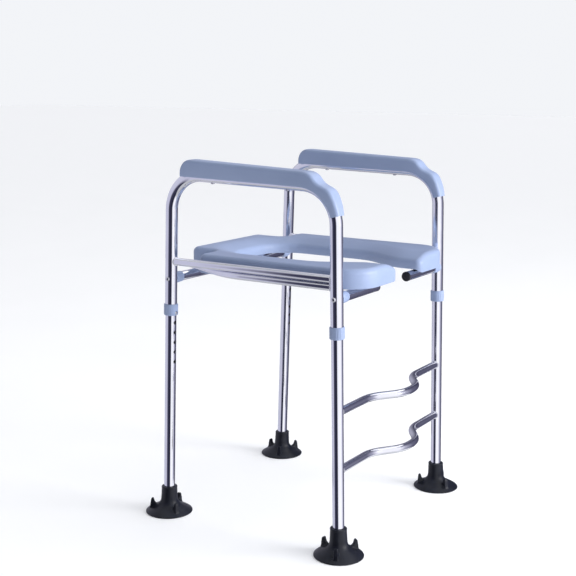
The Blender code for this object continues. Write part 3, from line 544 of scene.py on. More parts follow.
def on_leg(leg, height):
    """A point of the leg's axis at this height along it."""
    return FEET[leg] + AXES[leg] * height


def at_height(leg, z):
    """The point of the leg's axis at this height above the floor."""
    return FEET[leg] + AXES[leg] * (z / AXES[leg].z)


def along(leg, point):
    """How far along the leg a point lies, from the floor."""
    return (point - FEET[leg]).dot(AXES[leg])


def leg_shell(leg, radius):
    return FEET[leg], AXES[leg], radius


def arm_line(side_name):
    """Two points of the arm tube's axis, over its two screws."""
    points = []
    for end_name in ENDS:
        _, high, centre = box_of(f"{side_name}_{end_name}_pad_screw")
        points.append(Vector((centre.x, centre.y, high.z - FRAME_R - SCREW_BITE)))
    return points


def arm_corners(side_name):
    """Where the arm's axis meets the rear and the front leg's axis, before it is rounded."""
    first, second = arm_line(side_name)
    corners = {}
    for end_name in ENDS:
        leg = f"{end_name}_{side_name}"
        corners[end_name] = intersect_line_line(first, second, FEET[leg], on_leg(leg, 1))[0]
    return corners


# ---------------------------------------------------------------- chromed tubes

def add_frame_tube(side_name):
    cad_node = f"{side_name}_frame_tube"
    corners = arm_corners(side_name)
    rear, front = f"rear_{side_name}", f"front_{side_name}"
    end = box_of(cad_node)[0].z
    path = [at_height(rear, end), corners["rear"], corners["front"], at_height(front, end)]
    points = filleted(path, (0, BEND_RADIUS, BEND_RADIUS, 0), BEND_STEPS, closed=False)
    refine(cad_node, tube_mesh(cad_node, points, FRAME_R, FRAME_WALL))


def round_normals(mesh, origin, axis, radius, wall):
    """Shades a drilled tube as the true cylinder, so that its holes leave no marks round them."""
    normals = []
    for polygon in mesh.polygons:
        out = []
        for index in polygon.vertices:
            away = mesh.vertices[index].co - origin
            out.append(away - axis * away.dot(axis))
        if all(abs(v.length - radius) < 3e-5 for v in out):
            normals += [v.normalized() for v in out]
        elif all(abs(v.length - radius + wall) < 3e-5 for v in out):
            normals += [-v.normalized() for v in out]
        else:
            normals += [polygon.normal.copy() for _ in out]
    mesh.shade_smooth()
    mesh.normals_split_custom_set(normals)
    return mesh


def facing(leg):
    """The direction in which a leg's button faces: square to the leg, towards the other leg of its side."""
    return X_AXIS.cross(AXES[leg]) * ENDS[leg.split("_")[0]]


def button_height(leg):
    return along(leg, box_of(f"{leg}_snap_button")[2])


def button_hole(leg, height, reach):
    """A cutter for a hole on the button's side of a leg."""
    centre, outward = on_leg(leg, height), facing(leg)
    return cylinder(HOLE_R, centre + outward * LOWER_R / 2, centre + outward * reach, 40)


def add_lower_leg(leg):
    """The telescoping leg: its adjustment holes face the other leg of the side."""
    cad_node = f"{leg}_lower_leg"
    low, high, _ = box_of(cad_node)
    line = [at_height(leg, low.z), at_height(leg, high.z)]
    mesh = tube_mesh(cad_node, line, LOWER_R, LOWER_WALL, 96)
    top_hole = button_height(leg)
    holes = [button_hole(leg, top_hole - k * HOLE_PITCH, LOWER_R * 1.5) for k in range(HOLE_COUNT)]
    bolt, reach = CROSS.z * AXES[leg].z, LOWER_R * 1.3
    place = placed(FEET[leg], AXES[leg])
    slot = block((-reach, -SLOT_HALF, bolt - SLOT_LENGTH), (reach, SLOT_HALF, bolt), place)
    mesh = cut(mesh, *holes, slot)
    refine(cad_node, round_normals(mesh, FEET[leg], AXES[leg], LOWER_R, LOWER_WALL))


def add_cross_tubes():
    for cad_node in ("rear_cross_tube", "right_front_support_arm", "left_front_support_arm"):
        low, high, centre = box_of(cad_node)
        line = [Vector((x, centre.y, centre.z)) for x in (low.x, high.x)]
        refine(cad_node, tube_mesh(cad_node, line, CROSS_R, THIN_WALL, hint=Z_AXIS))


def brace_points(side_name):
    """The brace runs below the side rail and, towards the rear, winds round to its inner side."""
    side = SIDES[side_name]
    rear_end = box_of(f"{side_name}_rail_brace")[1].y
    x = box_of(f"{side_name}_side_rail")[2].x
    front = at_height(f"front_{side_name}", RAIL_Z).y
    turn = rear_end - BRACE_TURN_REST - BRACE_TURN_START
    steps = 24
    stations = [(front, 0)] + [(BRACE_TURN_START + turn * k / steps, k / steps) for k in range(steps + 1)]
    points = []
    for y, share in stations + [(rear_end, 1)]:
        angle = pi / 2 + (BRACE_SIDE_ANGLE - pi / 2) * smooth(share)
        points.append(Vector((
            x - side * BRACE_SPACING * cos(angle), y, RAIL_Z - BRACE_SPACING * sin(angle)
        )))
    return points


def add_side_rails():
    """Rails and braces, each cut to the legs, with a weld bead round every joint."""
    welds = bmesh.new()
    inner, outer = FRAME_R - FRAME_WALL / 2, FRAME_R + WELD_LIFT
    stub = Y_AXIS * 0.1            # half of a rail before its ends are fitted to the legs
    for side_name in SIDES:
        rear, front = f"rear_{side_name}", f"front_{side_name}"
        middle = (at_height(front, RAIL_Z) + at_height(rear, RAIL_Z)) / 2
        rail = tube_mesh(
            "rail", [middle - stub, middle + stub], RAIL_R, THIN_WALL,
            start_leg=leg_shell(front, inner), end_leg=leg_shell(rear, inner),
        )
        refine(f"{side_name}_side_rail", rail)
        points = brace_points(side_name)
        points[0] = points[0] + stub
        brace = tube_mesh("brace", points, BRACE_R, THIN_WALL, start_leg=leg_shell(front, inner))
        refine(f"{side_name}_rail_brace", brace)
        add_weld(welds, middle, -Y_AXIS, RAIL_R, leg_shell(front, outer))
        add_weld(welds, middle, Y_AXIS, RAIL_R, leg_shell(rear, outer))
        add_weld(welds, points[0], -Y_AXIS, BRACE_R, leg_shell(front, outer))
    add_piece("rail_weld_beads", finished(welds, "rail_weld_beads"), "frame", "chrome")


def add_front_bars():
    welds = bmesh.new()
    inner, outer = LOWER_R - LOWER_WALL / 2, LOWER_R + WELD_LIFT
    inset = 0.05                   # of a bar's ends before they are fitted to the legs
    for level in ("upper", "lower"):
        cad_node = f"{level}_front_bar"
        low, _, centre = box_of(cad_node)
        y, apex = at_height("front_right", centre.z).y, low.y + BAR_R
        end = at_height("front_left", centre.z).x - inset
        half = [(end, y), (BAR_STRAIGHT_X, y), (BAR_APEX_X, apex)]
        corners = [(-x, depth) for x, depth in half] + half[::-1]
        line = [Vector((*corner, centre.z)) for corner in corners]
        line = filleted(line, (0, BAR_BEND, BAR_BEND, BAR_BEND, BAR_BEND, 0), 18, closed=False)
        bar = tube_mesh(
            cad_node, line, BAR_R, THIN_WALL, hint=Z_AXIS,
            start_leg=leg_shell("front_right", inner), end_leg=leg_shell("front_left", inner),
        )
        refine(cad_node, bar)
        add_weld(welds, line[0], -X_AXIS, BAR_R, leg_shell("front_right", outer))
        add_weld(welds, line[-1], X_AXIS, BAR_R, leg_shell("front_left", outer))
    add_piece("bar_weld_beads", finished(welds, "bar_weld_beads"), "front_legs", "chrome")


# ---------------------------------------------------------------- collars, saddles, bolts, buttons

def add_collar(leg):
    """A fluted collar with rounded ends, and the hole that the snap button comes out through."""
    cad_node = f"{leg}_collar"
    low, high, _ = box_of(cad_node)
    radius, edge = (high.x - low.x) / 2, COLLAR_EDGE
    button = button_height(leg)
    bottom, top = button - COLLAR_BELOW, button + COLLAR_ABOVE
    side_top, side_length = top - edge, top - bottom - 2 * edge
    bore, mouth, shelf = FRAME_R + GAP, LOWER_R + GAP, bottom + COLLAR_FLOOR
    profile = [(bore, top), *quarter((radius - edge, side_top), edge, edge, 8)[:-1]]
    profile += [(radius, side_top - side_length * step / 6) for step in range(7)]
    profile += quarter((radius - edge, bottom + edge), edge, -edge, 8)[-2::-1]
    profile += [(mouth, bottom), (mouth, shelf), (bore, shelf), (bore, top)]
    mesh = turned(profile, (0, 0, 0), steps=FLUTES * 8, name=cad_node)
    fade_low, fade_high = bottom + edge * 0.4, top - edge * 0.4
    for vertex in mesh.vertices:
        x, y, z = vertex.co
        size = hypot(x, y)
        if size > radius - edge - 1e-5 and fade_low < z < fade_high:
            fade = smooth((z - fade_low) / edge) * smooth((fade_high - z) / edge)
            wave = 0.5 - 0.5 * cos(FLUTES * atan2(y, x))
            scale = 1 - FLUTE_DEPTH * wave**2 * fade / size
            vertex.co = (x * scale, y * scale, z)
    mesh.transform(placed(FEET[leg], AXES[leg]))
    refine(cad_node, shaded(cut(mesh, button_hole(leg, button, radius * 1.3)), 35))


def add_button(leg):
    cad_node = f"{leg}_snap_button"
    low, high, _ = box_of(cad_node)
    outward = facing(leg)
    origin = on_leg(leg, button_height(leg))
    back, tip = sorted(copysign(1, outward.y) * (y - origin.y) for y in (low.y, high.y))
    dome, flange = BUTTON_R * 0.5, back + 0.001
    profile = quarter((0, tip - dome), BUTTON_R, dome, 10)
    profile += [(BUTTON_R, flange), (BUTTON_FLANGE_R, flange), (BUTTON_FLANGE_R, back), (0, back)]
    refine(cad_node, turned(profile, origin, outward, 40, cad_node))


def add_saddle(leg, side):
    """The moulded seat between a leg and a cross tube, flared towards the leg."""
    cad_node = f"{leg}_saddle"
    low, high, _ = box_of(cad_node)
    centre = at_height(leg, CROSS.z)
    length = (centre.x - low.x) if side > 0 else (high.x - centre.x)
    bore, tip, outer = CROSS_R + 0.0001, CROSS_R + GAP + 0.0009, (high.z - low.z) / 2
    floor, neck, steps = length - 0.004, length - 0.0015, 8
    profile = [(0, floor), (bore, floor), (bore, length), (tip - 0.0004, length), (tip, length - 0.0005)]
    for share in (step / steps for step in range(steps + 1)):
        profile.append((tip + (outer - tip) * smooth(share), neck - (neck - FRAME_R) * share))
    profile += [(outer, FRAME_R * 0.5), (0, FRAME_R * 0.5)]
    mesh = turned(profile, centre, -side * X_AXIS, name=cad_node)
    reach = AXES[leg] * 0.04
    mesh = cut(mesh, cylinder(FRAME_R - FRAME_WALL / 2, centre - reach, centre + reach))
    refine(cad_node, shaded(mesh, 35))


def add_bolt(leg, side):
    """A domed bolt head on a thin flange, with its shank through the leg."""
    cad_node = f"{leg}_cross_bolt"
    low, high, _ = box_of(cad_node)
    centre = at_height(leg, CROSS.z)
    tip, top = sorted(side * (x - centre.x) for x in (low.x, high.x))
    head, shank = (high.z - low.z) / 2, 0.0030
    under, base = FRAME_R - FRAME_WALL / 2, FRAME_R + 0.0011
    profile = quarter((0, base), head * 0.93, top - base, 12)
    profile += [(head, FRAME_R + 0.0009), (head, under), (shank, under)]
    profile += [(shank, tip + 0.0008), (shank - 0.0008, tip), (0, tip)]
    refine(cad_node, turned(profile, centre, side * X_AXIS, 48, cad_node, 30))


def add_end_plug(side_name, side):
    """The black plug in the free end of a front support arm, its face slightly domed with a ring round it."""
    cad_node = f"{side_name}_arm_end_plug"
    low, high, centre = box_of(cad_node)
    face = low.x if side > 0 else high.x
    end = box_of(f"{side_name}_front_support_arm")[0 if side > 0 else 1].x
    depth = abs(end - face)
    inner_end, spigot = depth - (high.x - low.x), CROSS_R - THIN_WALL - 0.0001
    profile = [(0, depth), (0.0036, depth - 0.0001), (0.0042, depth - 0.0006), (0.0048, depth - 0.0001)]
    profile += quarter((0.0078, depth - 0.0024), 0.0026, 0.0022, 6)
    profile += [(CROSS_R + 0.0003, 0.0001), (spigot, 0.0001), (spigot, inner_end + 0.001)]
    profile += [(spigot - 0.001, inner_end), (0, inner_end)]
    place = Vector((end, centre.y, centre.z))
    refine(cad_node, turned(profile, place, -side * X_AXIS, 48, cad_node))


def add_screw(cad_node):
    """A pan head screw with a cross recess in its head, driven upwards."""
    low, high, centre = box_of(cad_node)
    place = Vector((centre.x, centre.y, low.z + HEAD))
    length = high.z - place.z
    profile = [(0, length), (SHANK_R, length - SHANK_R), (SHANK_R, 0), (HEAD_R, 0)]
    profile += quarter((0, -HEAD * 0.35), HEAD_R, -HEAD * 0.65, 7)[::-1]
    mesh = turned(profile, place, steps=32, name=cad_node)
    half, wide = HEAD_R * 0.11, HEAD_R * 0.55
    recess = [
        block((-x, -y, -HEAD * 1.2), (x, y, -HEAD * 0.45), Matrix.Translation(place))
        for x, y in ((wide, half), (half, wide))
    ]
    refine(cad_node, shaded(cut(mesh, *recess), 30))


# ---------------------------------------------------------------- armrest pads

PAD_KEYS = (               # share of the front bend, height of the top, half-width
    (0.00, 0.0265, 0.0205),
    (0.13, 0.0262, 0.0203),
    (0.21, 0.0236, 0.0200),
    (0.30, 0.0180, 0.0196),
    (0.38, 0.0158, 0.0190),
    (0.46, 0.0170, 0.0186),
    (0.55, 0.0197, 0.0183),
    (0.62, 0.0200, 0.0180),
    (0.74, 0.0178, 0.0172),
    (0.87, 0.0156, 0.0160),
    (1.00, 0.0140, 0.0148),
)


def keyed(keys, share):
    """Values between keys, on a smooth curve through them."""
    for i in range(len(keys) - 2):
        if share <= keys[i + 1][0]:
            break
    else:
        i = len(keys) - 2
    before, first, second, after = (keys[min(max(k, 0), len(keys) - 1)] for k in (i - 1, i, i + 1, i + 2))
    t = (share - first[0]) / (second[0] - first[0])
    values = []
    for column in range(1, len(first)):
        a, b, c, d = before[column], first[column], second[column], after[column]
        values.append(0.5 * (
            2 * b + (c - a) * t + (2 * a - 5 * b + 4 * c - d) * t**2 + (3 * b - a - 3 * c + d) * t**3
        ))
    return values


def pad_section(centre, up, width, top):
    """A rounded block with a channel for the tube, as points round its outline."""
    channel, bulge = FRAME_R + 0.0002, 0.0004
    corner = min(PAD_CORNER, (top - PAD_SKIRT) * 0.48)
    lip, chamfer = PAD_SKIRT + PAD_LIP, PAD_LIP * 0.3
    half = [(width - PAD_LIP, PAD_SKIRT), (width - chamfer, PAD_SKIRT + chamfer), (width, lip)]
    for share in (0.25, 0.50, 0.75):
        half.append((width + bulge * sin(pi * share), lip + (top - corner - lip) * share))
    half += quarter((width - corner, top - corner), corner, corner, 8)[::-1]
    half += [((width - corner) * share, top + 0.0003) for share in (0.66, 0.33)]
    start = asin(PAD_SKIRT / channel)
    shape = half + [(0, top + 0.0004)] + [(-x, z) for x, z in reversed(half)]
    shape += arc(channel, pi - start, start, 20)
    return [centre + X_AXIS * x + up * z for x, z in shape]


def pad_stations(side_name, rear_end):
    """Where the pad's sections stand: (centre, up, half-width, height of the top), from the rear."""
    corners = arm_corners(side_name)
    path = [corners["rear"], corners["front"], FEET[f"front_{side_name}"]]
    bend = filleted(path, (0, BEND_RADIUS, 0), 48, closed=False)[1:-1]
    slope = (bend[0] - corners["rear"]).normalized()
    up = slope.cross(X_AXIS)
    up = up if up.z > 0 else -up
    stations = []
    for step in range(13):
        angle = pi / 2 * step / 12
        y = rear_end - PAD_REAR_CORNER * (1 - cos(angle))
        top = PAD_TOP - PAD_REAR_CORNER * (1 - max(sin(angle), 0.18))
        centre = bend[0] + slope * ((bend[0].y - y) / -slope.y)
        rounding = 0.0006 * (step == 0)
        stations.append((centre, up, PAD_HALF_WIDTH - rounding, top - rounding))
    start, count = stations[-1][0], 18
    for share in (step / count for step in range(1, count)):
        top = PAD_TOP + (PAD_FRONT_TOP - PAD_TOP) * share
        stations.append((start.lerp(bend[0], share), up, PAD_HALF_WIDTH, top))
    arc_centre = bend[0] - up * BEND_RADIUS
    last = int(PAD_BEND_SHARE * (len(bend) - 1))
    for i, point in enumerate(bend[:last + 1]):
        top, width = keyed(PAD_KEYS, i / last)
        stations.append((point, (point - arc_centre).normalized(), width, top))
    return stations


def add_armrest(side_name):
    """The moulded pad: round at the rear, flat along the arm, then a dip, a knuckle and a tapered sleeve."""
    cad_node = f"{side_name}_armrest_pad"
    bm = bmesh.new()
    stations = pad_stations(side_name, box_of(cad_node)[1].y)
    rings = [[bm.verts.new(p) for p in pad_section(*station)] for station in stations]
    for ring, following in zip(rings, rings[1:]):
        bridge(bm, ring, following)
    bm.faces.new(rings[0])
    bm.faces.new(rings[-1])
    refine(cad_node, bevelled(finished(bm, cad_node, 40), 0.0008, 3, 0.8, 50))


# ---------------------------------------------------------------- seat

def seat_corners():
    """The seat's outline with its opening, counter-clockwise from the rear left, and each corner's radius."""
    low, high, _ = box_of("seat_board")
    wide, front, rear = high.x, low.y, high.y
    shoulder, tongue = rear - SEAT_SHOULDER, SEAT_TONGUE
    taper, slot_rear = front + SEAT_TAPER, front + SEAT_SLOT
    opening, slot = SEAT_OPENING, SLOT_HALF_WIDTH
    r, o = SEAT_RADII, OPENING_RADII
    left = [
        ((-tongue, rear), r["rear"], 0), ((-tongue, shoulder), r["notch"], 0),
        ((-wide, shoulder), r["rear"], 0), ((-wide, front), r["front"], 0),
        ((-slot, front), r["slot"], 0.5), ((-slot, slot_rear), o["slot"], 1),
        ((-opening, taper), o["taper"], 1), ((-opening, shoulder), o["rear"], 1),
    ]
    right = [((-x, y), radius, side) for (x, y), radius, side in reversed(left)]
    corners, radii, sides = zip(*left, *right)
    return [Vector(corner) for corner in corners], radii, sides


def moved_in(corners, radii, distance):
    """The outline's corners and radii with every side moved inwards."""
    moved, sizes = [], []
    for i, corner in enumerate(corners):
        arriving = (corner - corners[i - 1]).normalized()
        leaving = (corners[(i + 1) % len(corners)] - corner).normalized()
        first, second = Vector((-arriving.y, arriving.x)), Vector((-leaving.y, leaving.x))
        moved.append(corner + (first + second) * distance / (1 + first.dot(second)))
        convex = arriving.x * leaving.y - arriving.y * leaving.x > 0
        sizes.append(max(radii[i] - distance, 0) if convex else radii[i] + distance)
    return moved, sizes


def seat_ring(distance, counts=None):
    """The outline moved in by distance, its straight stretches split as the first ring's are."""
    corners, radii, _ = seat_corners()
    points = filleted(*moved_in(corners, radii, distance), CORNER_STEPS)
    lengths = [(points[(i + 1) % len(points)] - p).length for i, p in enumerate(points)]
    counts = counts or [max(1, ceil(length / EDGE_LENGTH)) for length in lengths]
    ring = []
    for i, point in enumerate(points):
        following = points[(i + 1) % len(points)]
        ring += [point.lerp(following, k / counts[i]) for k in range(counts[i])]
    return ring, counts


def seat_weights(counts):
    """How far each point of a ring belongs to the opening: 0 outside, 1 inside, blended between."""
    _, _, sides = seat_corners()
    per_point = []
    total = len(sides)
    for i, side in enumerate(sides):
        for step in range(CORNER_STEPS + 1):
            if side == 0.5:
                share = smooth(step / CORNER_STEPS)
                per_point.append(share if sides[(i + 1) % total] == 1 else 1 - share)
            else:
                per_point.append(side)
    weights = []
    for i, weight in enumerate(per_point):
        following = per_point[(i + 1) % len(per_point)]
        weights += [weight + (following - weight) * k / counts[i] for k in range(counts[i])]
    return weights


def dish(point, opening):
    """How far the seat's top lies below its rim at a point, from its distance to the opening's edge."""
    nearest = min(segment_distance(point, a, b) for a, b in opening)
    return DISH_DEPTH * (1 - min(nearest / DISH_WIDTH, 1))**1.7


def segment_distance(point, a, b):
    run = b - a
    share = min(max((point - a).dot(run) / run.length_squared, 0), 1)
    return (point - a - run * share).length


def opening_segments():
    """The opening's edge as short segments, carried on past the front of the seat."""
    corners, radii, sides = seat_corners()
    points = [Vector(p) for p in filleted(corners, radii, 10)]
    inside = [p for i, p in enumerate(points) if sides[i // 11] == 1]
    first, last = inside[0].copy(), inside[-1].copy()
    first.y = last.y = first.y - 0.12
    line = [first, *inside, last]
    return list(zip(line, line[1:]))


def add_seat():
    """The seat board: a rounded rim, a dish towards the opening, and a skirt round its hollow underside."""
    low, high, _ = box_of("seat_board")
    top, bottom = high.z, low.z
    ceiling = bottom + SEAT_POCKET
    _, counts = seat_ring(0)
    weights = seat_weights(counts)
    opening = opening_segments()
    bm = bmesh.new()

    def drop(distance, radius):
        return radius - sqrt(max(radius**2 - max(radius - distance, 0)**2, 0))

    def ring_of(distance, outside_z, inside_z):
        """A ring of vertices. Its heights outside and inside are given, or follow the top's shape."""
        ring, _ = seat_ring(distance, counts)
        verts = []
        for point, weight in zip(ring, weights):
            if outside_z is None:
                radius = SEAT_EDGE_R + (SEAT_LIP_R - SEAT_EDGE_R) * weight
                z = top - dish(point, opening) - drop(distance, radius)
            else:
                z = outside_z + (inside_z - outside_z) * weight
            verts.append(bm.verts.new((*point, z)))
        return verts

    rings = [
        ring_of(SEAT_RIM + 0.0004, ceiling, ceiling),
        ring_of(SEAT_RIM, ceiling - 0.0006, ceiling),
        ring_of(SEAT_RIM - 0.0003, bottom + 0.0006, ceiling),
        ring_of(SEAT_RIM - 0.0010, bottom, ceiling),
        ring_of(0.0012, bottom, ceiling),
        ring_of(0.0003, bottom + 0.0004, ceiling + 0.0004),
        ring_of(0, bottom + 0.0014, ceiling + 0.0014),
    ]
    rings += [ring_of(distance, None, None) for distance in SEAT_RINGS]
    for ring, following in zip(rings, rings[1:]):
        bridge(bm, ring, following)
    fill(bm, rings[-1], lambda p: top - dish(p, opening), 0.006)
    fill(bm, rings[0], lambda p: ceiling, 0.03)
    refine("seat_board", finished(bm, "seat_board", 38, 2e-6))


def fill(bm, ring, height, spacing):
    """Fills a ring with triangles over a grid of points at this spacing, each at its own height."""
    outline, kept = [], []
    for vertex in ring:
        point = Vector(vertex.co[:2])
        if not outline or (point - outline[-1]).length > 1e-5:
            outline.append(point)
            kept.append(vertex)
    if (outline[0] - outline[-1]).length < 1e-5:
        outline.pop()
        kept.pop()
    edges = list(zip(outline, outline[1:] + outline[:1]))
    low = Vector((min(p.x for p in outline), min(p.y for p in outline)))
    high = Vector((max(p.x for p in outline), max(p.y for p in outline)))
    inner = []
    rows = int((high.y - low.y) / (spacing * 0.87))
    for row in range(rows + 1):
        y = low.y + row * spacing * 0.87
        crossings = sorted(
            a.x + (b.x - a.x) * (y - a.y) / (b.y - a.y) for a, b in edges if (a.y > y) != (b.y > y)
        )
        columns = int((high.x - low.x) / spacing)
        for column in range(columns + 1):
            x = low.x + (column + 0.5 * (row % 2)) * spacing
            if sum(crossing < x for crossing in crossings) % 2 == 0:
                continue
            point = Vector((x, y))
            if min(segment_distance(point, a, b) for a, b in edges) > spacing * 0.45:
                inner.append(point)
    count = len(outline)
    loop = [(i, (i + 1) % count) for i in range(count)]
    points, _, faces, sources, _, _ = delaunay_2d_cdt(outline + inner, loop, [], 1, 1e-7)
    verts = []
    for point, source in zip(points, sources):
        index = source[0] if source else count
        verts.append(kept[index] if index < count else bm.verts.new((*point, height(point))))
    for face in faces:
        bm.faces.new([verts[i] for i in face])


def add_clip(side_name):
    """The clip that snaps over the rear cross tube: a C with a flange that is screwed to the seat."""
    cad_node = f"{side_name}_seat_hinge_clip"
    low, high, _ = box_of(cad_node)
    bore, outer = CROSS_R + 0.00035, CROSS.z - low.z
    mouth, neck = 0.0075, 0.0090
    ceiling, under = high.z - CROSS.z, high.z - CROSS.z - 0.0050
    tongue = CROSS.y - low.y
    inner_mouth, outer_mouth = acos(mouth / bore), acos(mouth / outer)
    rear_end, front_end = 0.55, pi - 0.35       # where the C's outside meets the flange
    outline = arc(bore, -inner_mouth, pi + inner_mouth, 28)
    outline += arc(outer, pi + outer_mouth, front_end, 10)
    outline += [(-neck - 0.003, under - 0.002), (-neck - 0.006, under), (-tongue, under)]
    outline += [(-tongue, ceiling), (neck, ceiling), *arc(outer, rear_end, -outer_mouth, 10)]
    bm = bmesh.new()
    prism(bm, *[[(x, CROSS.y + y, CROSS.z + z) for y, z in outline] for x in (low.x, high.x)])
    refine(cad_node, bevelled(finished(bm, cad_node, 30), 0.0006, 3, 0.7, 40))


def add_rest(side_name):
    cad_node = f"{side_name}_seat_rest"
    low, high, _ = box_of(cad_node)
    refine(cad_node, bevelled(block(low, high), 0.0022, 5, 0.5, 40))


# ---------------------------------------------------------------- feet

def foot_profile(height, bottom):
    """Radius and height from the top of the socket's bore, down the outside and under the cup."""
    top_r = 0.0166
    return [
        (0, bottom), (LOWER_R + 0.0002, bottom), (LOWER_R + 0.0002, height), (top_r - 0.0008, height),
        (top_r + 0.0003, height - 0.0008), (top_r + 0.0004, height - 0.0022), (top_r, height - 0.0034),
        (FOOT_NECK_R - 0.0003, 0.0290), (FOOT_NECK_R + 0.0006, 0.0250), (FOOT_NECK_R + 0.0022, 0.0215),
        (FOOT_NECK_R + 0.0052, 0.0178), (FOOT_NECK_R + 0.0095, 0.0145), (FOOT_NECK_R + 0.0155, 0.0112),
        (FOOT_NECK_R + 0.0215, 0.0084), (FOOT_NECK_R + 0.0265, 0.0056), (FOOT_NECK_R + 0.0300, 0.0034),
        (CUP_R, 0.0020), (CUP_R + 0.0003, 0.0009), (CUP_R - 0.0006, 0), (CUP_R - 0.0045, 0),
        (CUP_R * 0.80, 0.0022), (CUP_R * 0.55, 0.0052), (CUP_R * 0.28, 0.0072), (0, 0.0080),
    ]


TAB_SHAPE = (           # distance from the leg's axis, and height
    (0.0260, 0.0080), (0.0272, 0.0158), (0.0296, 0.0178), (0.0318, 0.0202), (0.0330, 0.0240),
    (0.0340, 0.0280), (0.0362, 0.0292), (0.0384, 0.0284), (0.0398, 0.0250), (0.0406, 0.0180),
    (0.0414, 0.0110), (0.0440, 0.0040),
)


def tab_side(side):
    """One side of a pull tab, which gets thinner upwards."""
    return [Vector((x, side * (0.0044 - 0.0007 * smooth((z - 0.014) / 0.013)), z)) for x, z in TAB_SHAPE]


def add_foot(leg):
    """A suction cup with a socket for the leg and three pull tabs, melted into one body."""
    cad_node = f"{leg}_suction_foot"
    bottom = box_of(f"{leg}_lower_leg")[0].z - 0.0002
    bm = bmesh.new()
    bm.from_mesh(turned(foot_profile(box_of(cad_node)[1].z, bottom), (0, 0, 0), steps=120))
    for k in range(3):
        turn = Matrix.Rotation(radians(TAB_ANGLES[leg] + 120 * k), 3, "Z")
        prism(bm, *[[turn @ point for point in tab_side(side)] for side in (-1, 1)])
    mesh = applied(
        finished(bm, "foot"),
        ("REMESH", {"mode": "VOXEL", "voxel_size": FOOT_VOXEL, "adaptivity": 0}),
        ("SMOOTH", {"factor": 0.5, "iterations": 5}),
    )
    slant = AXES[leg].y / AXES[leg].z
    for vertex in mesh.vertices:
        vertex.co.y += slant * vertex.co.z
        vertex.co.z = max(vertex.co.z, 0)
    mesh.transform(Matrix.Translation(FEET[leg]))
    mesh.shade_smooth()
    refine(cad_node, mesh)


# ---------------------------------------------------------------- studio

WALL_COLOURS = (        # bearing in degrees from +X towards +Y, and the wall's colour there
    (-180, (0.02, 0.02, 0.04)),
    (-152, (0.03, 0.03, 0.05)),
    (-143, (0.92, 0.92, 0.98)),
    (-110, (1.0, 1.0, 1.0)),
    (-84, (0.90, 0.90, 0.96)),
    (-70, (0.38, 0.38, 0.48)),
    (-42, (0.12, 0.12, 0.18)),
    (0, (0.03, 0.03, 0.06)),
    (40, (0.34, 0.34, 0.42)),
    (80, (0.56, 0.56, 0.66)),
    (146, (0.52, 0.52, 0.64)),
    (158, (0.04, 0.04, 0.07)),
)


def add_reflection_wall():
    """A wall round the object that only reflections see: bright in front, dark and pale stretches beside."""
    radius, height, base = 1.2, 1.95, -0.55
    bm = bmesh.new()
    bmesh.ops.create_cone(bm, cap_ends=False, segments=96, radius1=radius, radius2=radius, depth=height)
    wall = add_object("reflection_wall", as_mesh(bm, "reflection_wall"))
    wall.location.z = base + height / 2
    made = bpy.data.materials.new("reflection_wall")
    made.use_nodes = True
    tree = made.node_tree
    tree.nodes.clear()
    coordinates = node(tree, "ShaderNodeTexCoord").outputs["Object"]
    gradient = node(tree, "ShaderNodeTexGradient", {"Vector": coordinates}, gradient_type="RADIAL")
    ramp = node(tree, "ShaderNodeValToRGB", {"Fac": gradient.outputs["Fac"]})
    elements = ramp.color_ramp.elements
    elements.remove(elements[1])
    elements[0].position, elements[0].color = 0, (*WALL_COLOURS[0][1], 1)
    for bearing, colour in WALL_COLOURS[1:]:
        elements.new(bearing / 360 + 0.5).color = (*colour, 1)
    emission = node(tree, "ShaderNodeEmission", {"Color": ramp.outputs["Color"], "Strength": 1.2})
    node(tree, "ShaderNodeOutputMaterial", {"Surface": emission.outputs["Emission"]})
    wall.data.materials.append(made)
    for ray in ("camera", "diffuse", "shadow", "transmission"):
        setattr(wall, f"visible_{ray}", False)


def add_floor():
    bm = bmesh.new()
    bmesh.ops.create_grid(bm, x_segments=8, y_segments=8, size=30)
    floor = add_object("floor", as_mesh(bm, "floor"))
    floor.location.z = -0.0002
    glow = {"emission_color": (1.0, 1.0, 1.0, 1), "emission_strength": 0.14}
    made, tree, shader = material("pale_floor", 0.75, specular_ior_level=0.1, **glow)
    drift = noise(tree, node(tree, "ShaderNodeTexCoord").outputs["Object"], 3, 3)
    colour = mixed(tree, spread(tree, drift), (0.86, 0.86, 0.865), (0.88, 0.88, 0.885))
    feed(tree, shader, {"Base Color": colour})
    floor.data.materials.append(made)
    floor.visible_glossy = False


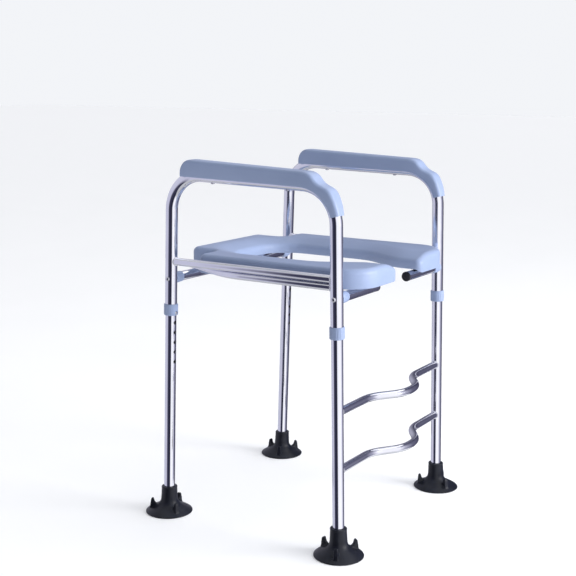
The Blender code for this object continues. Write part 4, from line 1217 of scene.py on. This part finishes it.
def add_world():
    """Light from all round, strongest in front, nowhere dark in reflections and pale for the camera."""
    world = bpy.data.worlds.new("studio")
    bpy.context.scene.world = world
    world.use_nodes = True
    tree = world.node_tree
    tree.nodes.clear()
    rays = node(tree, "ShaderNodeLightPath").outputs
    direction = node(tree, "ShaderNodeTexCoord").outputs["Generated"]
    brightest = (0.60, -0.77, 0.20)
    towards = node(tree, "ShaderNodeVectorMath", {0: direction, 1: brightest}, operation="DOT_PRODUCT")
    height = node(tree, "ShaderNodeSeparateXYZ", {"Vector": direction})
    front = spread(tree, towards.outputs["Value"], 0.04, 1.85, -0.62, 1.0)
    above = spread(tree, height.outputs["Z"], 0.75, 1.0, -0.12, 0.0)
    strength = combined(tree, "MULTIPLY", front, above)
    lifted = combined(tree, "MAXIMUM", strength, 0.62)
    choice = {0: rays["Is Glossy Ray"], 2: strength, 3: lifted}
    chosen = node(tree, "ShaderNodeMix", choice, data_type="FLOAT").outputs[0]
    light, seen = (
        node(tree, "ShaderNodeBackground", {"Color": colour, "Strength": value}).outputs["Background"]
        for colour, value in (((0.95, 0.965, 1.0, 1), chosen), ((0.895, 0.91, 0.94, 1), 1.0))
    )
    mix = node(tree, "ShaderNodeMixShader", {0: rays["Is Camera Ray"], 1: light, 2: seen})
    node(tree, "ShaderNodeOutputWorld", {"Surface": mix.outputs["Shader"]})


def add_area_light(name, place, target, size, power, colour):
    data = bpy.data.lights.new(name, "AREA")
    data.shape, data.size, data.energy, data.color = "DISK", size, power, colour
    light = add_object(name, data)
    light.location = place
    light.rotation_euler = (Vector(target) - Vector(place)).to_track_quat("-Z", "Y").to_euler()


def add_camera():
    """The photograph's viewpoint: in front of the user's right, a little above the arms."""
    place = Vector((-1.9945, -1.1987, 0.9105))
    yaw, pitch, roll = radians(57.88), radians(10.57), radians(0.43)
    forward = Vector((sin(yaw) * cos(pitch), cos(yaw) * cos(pitch), -sin(pitch)))
    right = Vector((cos(yaw), -sin(yaw), 0))
    up = right.cross(forward)
    right, up = right * cos(roll) + up * sin(roll), up * cos(roll) - right * sin(roll)
    data = bpy.data.cameras.new("camera")
    data.lens, data.sensor_width = 68.6, 36
    camera = add_object("camera", data)
    turn = Matrix((right, up, -forward)).transposed().to_4x4()
    camera.matrix_world = Matrix.Translation(place) @ turn
    bpy.context.scene.camera = camera


# ---------------------------------------------------------------- the model

def build_model():
    for side_name, side in SIDES.items():
        add_frame_tube(side_name)
        add_armrest(side_name)
        for screw in ("rear_pad", "front_pad", "seat_clip"):
            add_screw(f"{side_name}_{screw}_screw")
        add_end_plug(side_name, side)
        add_clip(side_name)
        add_rest(side_name)
        for end_name in ENDS:
            leg = f"{end_name}_{side_name}"
            add_lower_leg(leg)
            add_collar(leg)
            add_button(leg)
            add_saddle(leg, side)
            add_bolt(leg, side)
            add_foot(leg)
    add_cross_tubes()
    add_side_rails()
    add_front_bars()
    add_seat()
    for name, cad in frame["nodes"].items():
        if not cad.hide_render:
            for material_slot in cad.material_slots:
                material_slot.material = MATERIALS[SLOT_OF[name]]


build_model()
add_floor()
add_world()
add_reflection_wall()
add_area_light("key", (0.8, -3.0, 1.15), (0, 0, 0.4), 1.8, 88, (1.0, 1.0, 1.0))
add_area_light("top", (-0.3, 0.4, 3.2), (0, 0, 0.4), 2.2, 4, (0.95, 0.97, 1.0))
add_camera()
bpy.context.scene.view_settings.view_transform = "Standard"
